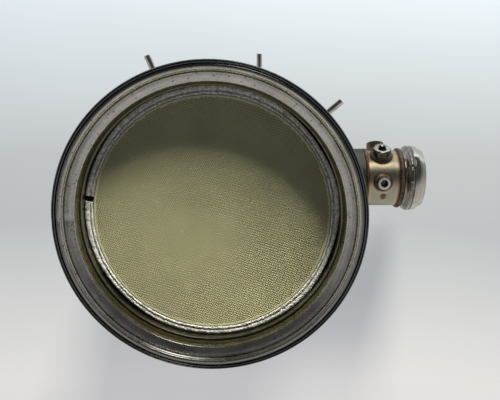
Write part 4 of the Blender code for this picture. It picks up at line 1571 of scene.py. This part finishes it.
@dataclass
class Boss:
    """A boss on the pipe, by its place along X and its turn round the pipe."""

    name: str
    x: float
    turn: float
    bore: float
    reach: float

    @staticmethod
    def all() -> "tuple[Boss, Boss, Boss]":
        """Returns the front and rear sensor bosses and the pressure port."""
        radius = OutletPipe.radius()
        front_turn = math.radians(FRONT_TURN)
        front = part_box("front_sensor_boss")
        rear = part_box("rear_sensor_boss")
        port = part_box("pressure_port_boss")
        return (
            Boss("front", (front[0].x + front[1].x) / 2.0, front_turn, SENSOR_BORE, SENSOR_TINT),
            Boss("rear", (rear[0].x + rear[1].x) / 2.0, front_turn + BOSS_SPACING / radius,
                 SENSOR_BORE, SENSOR_TINT),
            Boss("port", (port[0].x + port[1].x) / 2.0, 0.0, PORT_BORE, PORT_TINT),
        )

    def frame(self) -> Matrix:
        """Returns the matrix that stands Z along the boss's axis, from the pipe's axis."""
        return Matrix.Translation((self.x, 0.0, OutletPipe.height())) @ Matrix.Rotation(
            -self.turn, 4, "X")

    def foot(self) -> Vector:
        """Returns the point where the boss's axis leaves the pipe."""
        return self.frame() @ Vector((0.0, 0.0, OutletPipe.radius()))


@dataclass
class Bosses:
    """The two hexagonal sensor bosses, the pressure port, their welds and the nib."""

    flats: float = 0.0210
    height: float = 0.0124
    hexagon_turn: float = 20.0
    corner: float = 0.0004
    chamfer: float = 0.0014
    countersink: float = 0.0016
    run_out: float = 0.0012
    mouth_depth: float = 0.0010
    thread_pitch: float = 0.0015
    thread_depth: float = 0.0007
    bead_width: float = 0.0036
    bead_height: float = 0.0042
    bead_steps: int = 96
    bead_ripple: float = 0.00022
    port_radius: float = 0.0085
    port_height: float = 0.0100
    port_edge: float = 0.0014
    port_countersink: float = 0.0013
    port_burr: float = 0.0008
    port_burr_depth: float = 0.0028
    port_bead_width: float = 0.0036
    port_bead_height: float = 0.0034
    nib_turn: float = -32.0
    nib_radius: float = 0.0044
    nib_height: float = 0.0010

    def _thread(self, bore: float, bottom: float, top: float) -> Outline:
        """Returns the outline of a threaded bore, upwards.

        Args:
            bore: The thread's outer diameter.
            bottom: The height where it starts.
            top: The height where it ends.

        Returns:
            The points, in grooves one pitch apart.
        """
        count = int((top - bottom) / self.thread_pitch)
        points = []
        for index in range(count):
            level = bottom + index * self.thread_pitch
            points.append((bore / 2.0, level))
            points.append((bore / 2.0 - self.thread_depth, level + self.thread_pitch / 2.0))
        points.append((bore / 2.0, top))
        return points

    def _hexagon(self, boss: Boss) -> bpy.types.Object:
        """Builds a hexagonal boss with a rounded top and a threaded bore.

        Args:
            boss: Where it stands.

        Returns:
            The boss, with slots for its browned sides and its bright top.
        """
        radius = OutletPipe.radius()
        top = radius + self.height
        corner = self.flats / math.sqrt(3.0)
        bottom = math.sqrt(radius ** 2 - corner ** 2) - 2.0 * CLEARANCE
        bpy.ops.object.select_all(action="DESELECT")
        bpy.ops.mesh.primitive_cylinder_add(vertices=6, radius=corner, depth=top - bottom)
        piece = adopt_primitive(boss.name + "_sensor_boss_hexagon")
        place(piece, Matrix.Translation((0.0, 0.0, (top + bottom) / 2.0))
              @ Matrix.Rotation(math.radians(self.hexagon_turn), 4, "Z"))
        full = corner - self.corner
        flat = self.flats / 2.0 - self.chamfer / 2.0
        rounding = turned("rounding_tool", [
            (0.0, bottom - CUT_REACH), (full, bottom - CUT_REACH), (full, top - self.chamfer),
            (flat + 0.0004, top - 0.0003), (flat - 0.0002, top), (0.0, top)], SMALL_STEPS,
            closed=False)
        combine(piece, rounding, "INTERSECT")
        mouth = boss.bore / 2.0 + self.countersink
        tap = [(0.0, bottom - CUT_REACH)]
        tap += self._thread(boss.bore, bottom - CUT_REACH, top - self.run_out)
        tap += [(boss.bore / 2.0, top - self.mouth_depth), (mouth, top), (mouth, top + CUT_REACH),
                (0.0, top + CUT_REACH)]
        combine(piece, turned("tap_tool", tap, SMALL_STEPS, closed=False), "DIFFERENCE")
        self._brighten_top(piece, top - self.chamfer * 0.6)
        place(piece, boss.frame())
        combine(piece, self._pipe_form(), "DIFFERENCE")
        return piece

    @staticmethod
    def _brighten_top(piece: bpy.types.Object, level: float) -> None:
        """Gives a boss a second slot for the bright faces of its top.

        Args:
            piece: The boss, upright on its own axis.
            level: The height above which upward faces are bright.
        """
        piece.data.materials.append(None)
        piece.data.materials.append(None)
        pick(piece)
        bpy.ops.object.mode_set(mode="EDIT")
        select_faces(piece, lambda face: face.calc_center_median().z > level
                     and face.normal.z > 0.3)
        piece.active_material_index = 1
        bpy.ops.object.material_slot_assign()
        bpy.ops.object.mode_set(mode="OBJECT")

    @staticmethod
    def _pipe_form() -> bpy.types.Object:
        """Returns a tool with the pipe's outer form."""
        low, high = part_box("outlet_pipe")
        radius = OutletPipe.radius() + CLEARANCE
        tool = turned("pipe_form_tool", [
            (0.0, low.x), (radius, low.x), (radius, high.x), (0.0, high.x)], PIPE_STEPS,
            closed=False)
        return place(tool, OutletPipe.axis())

    def _foot_bead(self, boss: Boss, inner: float, outer: float,
                   height: float) -> bpy.types.Object:
        """Builds the rippled weld round a boss's foot, laid on the pipe's curve.

        Args:
            boss: The boss.
            inner: The bead's inner radius.
            outer: Its outer radius.
            height: How far it climbs the boss.

        Returns:
            The bead.
        """
        radius = OutletPipe.radius()
        low = -2.0 * CLEARANCE
        outline = arc((inner, low), (outer - inner - self.bead_ripple, height - low),
                      90.0, 0.0, 9)
        outline.append((inner, low))
        piece = turned(boss.name + "_boss_bead", outline, self.bead_steps)
        ripple(piece, self.bead_steps, self.bead_ripple,
               lambda spot: spot.xy.length > inner + 0.0005 and spot.z > low / 2.0)

        def move(spot: Vector) -> Vector:
            """Drops the bead onto the pipe's round side."""
            drop = math.sqrt(radius ** 2 - spot.y ** 2)
            return Vector((spot.x, spot.y, spot.z + drop))

        reshape(piece, move)
        return place(piece, boss.frame())

    def _port(self, boss: Boss) -> bpy.types.Object:
        """Builds the round pressure port with its threaded bore.

        Args:
            boss: Where it stands.

        Returns:
            The port.
        """
        radius = OutletPipe.radius()
        top = radius + self.port_height
        outer = self.port_radius
        foot = math.sqrt(radius ** 2 - outer ** 2) - 2.0 * CLEARANCE
        mouth = boss.bore / 2.0 + self.port_countersink
        outline = [(outer, foot), (outer, top - self.port_edge)]
        outline += arc((outer - self.port_edge, top - self.port_edge),
                       (self.port_edge, self.port_edge), 20.0, 70.0, 3)
        outline += [(outer - self.port_edge, top), (mouth, top)]
        thread = self._thread(boss.bore, foot, top - self.port_countersink)
        outline += list(reversed(thread))
        piece = turned("pressure_port_turned", outline, SMALL_STEPS)
        pick(piece)
        bpy.ops.object.mode_set(mode="EDIT")
        select_vertices(piece, lambda spot: spot.z > top - self.port_burr_depth
                        and spot.xy.length < boss.bore / 2.0 + CLEARANCE)
        bpy.ops.transform.vertex_random(offset=self.port_burr, uniform=0.0, normal=0.0, seed=3)
        bpy.ops.object.mode_set(mode="OBJECT")
        self._brighten_top(piece, top - self.port_countersink * 0.3)
        place(piece, boss.frame())
        combine(piece, self._pipe_form(), "DIFFERENCE")
        return piece

    def _nib(self) -> bpy.types.Object:
        """Builds the small dished button under the port."""
        low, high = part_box("locating_nib")
        radius = OutletPipe.radius()
        top = radius + self.nib_height
        size = self.nib_radius
        outline = [(0.0, top - 0.0006)]
        outline += arc((0.0, top + 0.0024), (size * 0.55, 0.0030), -90.0, -35.0, 5)[1:]
        outline += arc((size * 0.80, top - 0.0005), (size * 0.20, 0.0005), 130.0, 0.0, 8)
        outline += [(size, radius - 0.0009), (0.0, radius - 0.0009)]
        piece = turned("locating_nib_pressed", outline, SMALL_STEPS, closed=False)
        seat = Matrix.Translation(((low.x + high.x) / 2.0, 0.0, OutletPipe.height()))
        return place(piece, seat @ Matrix.Rotation(-math.radians(self.nib_turn), 4, "X"))

    def dress(self) -> None:
        """Builds the bosses and gives them their finishes."""
        height = OutletPipe.height()
        front, rear, port = Boss.all()
        brown = PipeSteel("boss_steel_browned", height, (0.19, 0.16, 0.12), (0.06, 0.05, 0.04),
                          0.34, 0.2).make()
        bright = PipeSteel("boss_face_bright", height, (0.60, 0.57, 0.50), (0.30, 0.28, 0.23),
                           0.20, 0.2).make()
        scale = WeldMetal("boss_weld_metal", (0.105, 0.08, 0.06), (0.03, 0.025, 0.022),
                          0.42).make()
        inner = self.flats / 2.0 - self.chamfer
        outer = self.flats / math.sqrt(3.0) + self.bead_width
        for boss in (front, rear):
            dress(self._hexagon(boss), [boss.name + "_sensor_boss"], Slot.BOSS, [brown, bright])
            bead = self._foot_bead(boss, inner, outer, self.bead_height)
            dress(bead, [boss.name + "_boss_weld"], Slot.WELD, [scale], 50.0)
        ground = PipeSteel("port_face_ground", height, (0.95, 0.94, 0.92), (0.70, 0.69, 0.66),
                           0.52, 0.2).make()
        dress(self._port(port), ["pressure_port_boss"], Slot.MACHINED, [brown, ground])
        bead = self._foot_bead(port, self.port_radius - 0.0004,
                               self.port_radius + self.port_bead_width, self.port_bead_height)
        dress(bead, ["port_boss_weld"], Slot.WELD, [scale], 50.0)
        nib = PipeSteel("nib_steel_browned", height, (0.30, 0.22, 0.15), (0.10, 0.065, 0.045),
                        0.36, 0.2).make()
        dress(self._nib(), ["locating_nib"], Slot.BOSS, [nib])


@dataclass
class Pins:
    """The three drawn pins with their flared weld feet."""

    radius: float = 0.0035
    middle_radius: float = 0.0029
    chamfer: float = 0.0007
    foot_width: float = 0.0034
    foot_height: float = 0.0030
    left: tuple[float, float] = (113.3, 0.0417)
    right: tuple[float, float] = (40.1, 0.0435)
    middle: tuple[float, float] = (0.0477, 0.0382)

    def _pin(self, name: str, radius: float, foot: Vector, direction: Vector,
             length: float) -> bpy.types.Object:
        """Builds one pin.

        Args:
            name: The CAD node's name.
            radius: Its radius.
            foot: Where its axis meets the shell.
            direction: Where it points.
            length: How far it stands out.

        Returns:
            The pin.
        """
        outer = radius + self.foot_width
        outline = [(0.0, length), (radius - self.chamfer, length)]
        outline += arc((radius - self.chamfer, length - self.chamfer),
                       (self.chamfer, self.chamfer), 75.0, 0.0, 4)
        outline += arc((outer, self.foot_height), (self.foot_width, self.foot_height),
                       180.0, 270.0, 10)
        outline += [(outer, -radius), (0.0, -radius)]
        piece = turned(name + "_drawn", outline, SMALL_STEPS, closed=False)
        turn = direction.to_track_quat("Z", "Y").to_matrix().to_4x4()
        place(piece, Matrix.Translation(foot) @ turn)
        low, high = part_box("filter_shell")
        wall = high.x + CLEARANCE
        tool = turned("shell_form_tool", [
            (0.0, low.z), (wall, low.z), (wall, high.z), (0.0, high.z)], BODY_STEPS,
            closed=False)
        combine(piece, tool, "DIFFERENCE")
        return piece

    def dress(self) -> None:
        """Builds the pins and gives them their steel."""
        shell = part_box("filter_shell")[1].x
        low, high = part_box("left_pin")
        height = (low.z + high.z) / 2.0
        steel = PipeSteel("pin_steel_drawn", height, (0.62, 0.61, 0.58), (0.38, 0.37, 0.35),
                          0.16, 0.2).make()
        for name, (turn, length) in (("left_pin", self.left), ("right_pin", self.right)):
            angle = math.radians(turn)
            direction = Vector((math.cos(angle), math.sin(angle), 0.0))
            foot = direction * shell + Vector((0.0, 0.0, height))
            piece = self._pin(name, self.radius, foot, direction, length)
            dress(piece, [name], Slot.PIN, [steel])
        offset, length = self.middle
        foot = Vector((offset, math.sqrt(shell ** 2 - offset ** 2), height))
        piece = self._pin("middle_pin", self.middle_radius, foot, Vector((0.0, 1.0, 0.0)), length)
        dress(piece, ["middle_pin"], Slot.PIN, [steel])


@dataclass
class Studio:
    """The pale floor, the soft lamps, the world and the camera."""

    floor_size: float = 9.0
    floor_far: Colour = (0.58, 0.65, 0.76)
    # The floor's darker middle band is painted shade.
    floor_middle_shade: Colour = (0.40, 0.425, 0.455)
    floor_near: Colour = (0.66, 0.66, 0.68)
    key_elevation: float = 13.8
    key_lean: float = 0.24
    key_distance: float = 1.8
    key_width: float = 0.50
    key_height: float = 0.48
    key_power: float = 202.0
    key_colour: Colour = (1.0, 0.96, 0.80)
    gleam_elevation: float = 20.5
    gleam_height: float = 0.78
    gleam_power: float = 5.2
    gleam_colour: Colour = (1.0, 0.98, 0.90)
    floor_glow: float = 0.72
    floor_reach: float = 0.60
    sky_lean: float = 0.9
    sky_low: float = -1.0
    sky_high: float = 1.35
    sky: tuple[tuple[float, Colour], ...] = (
        (0.0, (0.66, 0.65, 0.63)), (0.45, (0.62, 0.61, 0.60)), (0.60, (0.54, 0.535, 0.53)),
        (0.71, (0.36, 0.36, 0.36)), (0.81, (0.12, 0.12, 0.12)), (0.90, (0.065, 0.066, 0.068)))
    backdrop: Colour = (0.72, 0.76, 0.80)
    position: tuple[float, float, float] = (0.0452, 0.1376, 0.9157)
    forward: tuple[float, float, float] = (-0.0110, -0.2018, -0.9794)
    lens: float = 43.2

    def floor(self) -> None:
        """Lays the floor."""
        bpy.ops.object.select_all(action="DESELECT")
        bpy.ops.mesh.primitive_grid_add(x_subdivisions=4, y_subdivisions=4, size=self.floor_size)
        piece = adopt_primitive("studio_floor")
        paint = Paint("floor_paint")
        # Painted shade: the floor's ramp darkens a band across its middle, between paler far and near
        # ends.
        colour = paint.ramp(paint.fade(paint.y + paint.noise(3.0) * 0.1, self.floor_reach,
                                       -self.floor_reach), (
            (0.0, self.floor_far), (0.42, self.floor_middle_shade), (0.55, self.floor_middle_shade),
            (0.85, self.floor_near)))
        paint.finish(colour, 0.8, 0.0)
        path = paint.node("ShaderNodeLightPath", {}, {})
        seen = paint.math("MAXIMUM", Number(paint, path.outputs["Is Camera Ray"]),
                          Number(paint, path.outputs["Is Glossy Ray"]))
        seen = paint.math("MAXIMUM", seen, Number(paint, path.outputs["Is Transmission Ray"]))
        glow = paint.node("ShaderNodeEmission", {}, {"Color": colour, "Strength": 1.0})
        output = paint.tree.nodes["Material Output"]
        blend = paint.node("ShaderNodeMixShader", {}, {
            0: seen * self.floor_glow, 1: paint.shader.outputs[0], 2: glow.outputs[0]})
        paint.feed(output.inputs["Surface"], blend.outputs[0])
        piece.data.materials.append(paint.material)

    def _lamp(self, name: str, elevation: float, height: float, power: float,
              colour: Colour) -> bpy.types.Object:
        """Hangs a soft square lamp on the pins' side.

        Args:
            name: The lamp's name.
            elevation: How high it stands above the block's face, in degrees.
            height: The height of its panel.
            power: Its power in watts.
            colour: Its colour.

        Returns:
            The lamp.
        """
        angle = math.radians(elevation)
        aim = Vector((0.0, 0.0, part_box("filter_substrate")[1].z))
        away = Vector((self.key_lean, math.cos(angle), math.sin(angle))).normalized()
        lamp = bpy.data.lights.new(name, "AREA")
        lamp.shape = "RECTANGLE"
        lamp.size = self.key_width
        lamp.size_y = height
        lamp.energy = power
        lamp.color = colour
        thing = bpy.data.objects.new(name, lamp)
        bpy.context.scene.collection.objects.link(thing)
        thing.location = aim + away * self.key_distance
        thing.rotation_euler = away.to_track_quat("Z", "Y").to_euler()
        return thing

    def lamps(self) -> None:
        """Hangs the key lamp and a weak one that only the metal's gleam shows."""
        key = self._lamp("key_lamp", self.key_elevation, self.key_height, self.key_power,
                         self.key_colour)
        key.visible_glossy = False
        gleam = self._lamp("gleam_lamp", self.gleam_elevation, self.gleam_height,
                           self.gleam_power, self.gleam_colour)
        gleam.visible_diffuse = False

    def world(self) -> None:
        """Sets a world that is pale round the floor and dark above and behind the lamps."""
        world = bpy.data.worlds.new("studio_world")
        bpy.context.scene.world = world
        world.use_nodes = True
        nodes = Nodes(world.node_tree)
        coordinates = nodes.node("ShaderNodeTexCoord", {}, {})
        parts = nodes.node("ShaderNodeSeparateXYZ", {}, {0: coordinates.outputs["Generated"]})
        lean = Number(nodes, parts.outputs["Y"]) * self.sky_lean + Number(nodes, parts.outputs["Z"])
        spread = nodes.node("ShaderNodeMapRange", {}, {
            "Value": lean, "From Min": self.sky_low, "From Max": self.sky_high})
        sky = nodes.ramp(Number(nodes, spread.outputs[0]), self.sky)
        path = nodes.node("ShaderNodeLightPath", {}, {})
        seen = Number(nodes, path.outputs["Is Camera Ray"])
        background = nodes.tree.nodes["Background"]
        nodes.feed(background.inputs["Color"], nodes.mix(seen, sky, self.backdrop))
        nodes.feed(background.inputs["Strength"], 1.0)

    def camera(self) -> None:
        """Sets the camera at the photograph's angle."""
        data = bpy.data.cameras.new("camera")
        data.lens = self.lens
        data.sensor_width = 36.0
        thing = bpy.data.objects.new("camera", data)
        bpy.context.scene.collection.objects.link(thing)
        back = -Vector(self.forward).normalized()
        right = Vector((0.0, 1.0, 0.0)).cross(back).normalized()
        up = back.cross(right)
        turn = Matrix((right, up, back)).transposed().to_4x4()
        thing.matrix_world = Matrix.Translation(self.position) @ turn
        bpy.context.scene.camera = thing

    def build(self) -> None:
        """Sets up the whole studio."""
        self.floor()
        self.lamps()
        self.world()
        self.camera()
        bpy.context.scene.view_settings.view_transform = "Standard"


def main() -> None:
    """Builds and dresses the filter, then the studio."""
    logging.basicConfig(level=logging.INFO, format="%(name)s: %(message)s")
    FilterBlock().dress()
    SupportMat().dress()
    InletFlange().dress()
    Can().dress()
    OutletPipe().dress()
    Bosses().dress()
    Pins().dress()
    Studio().build()


if __name__ == "__main__":
    main()
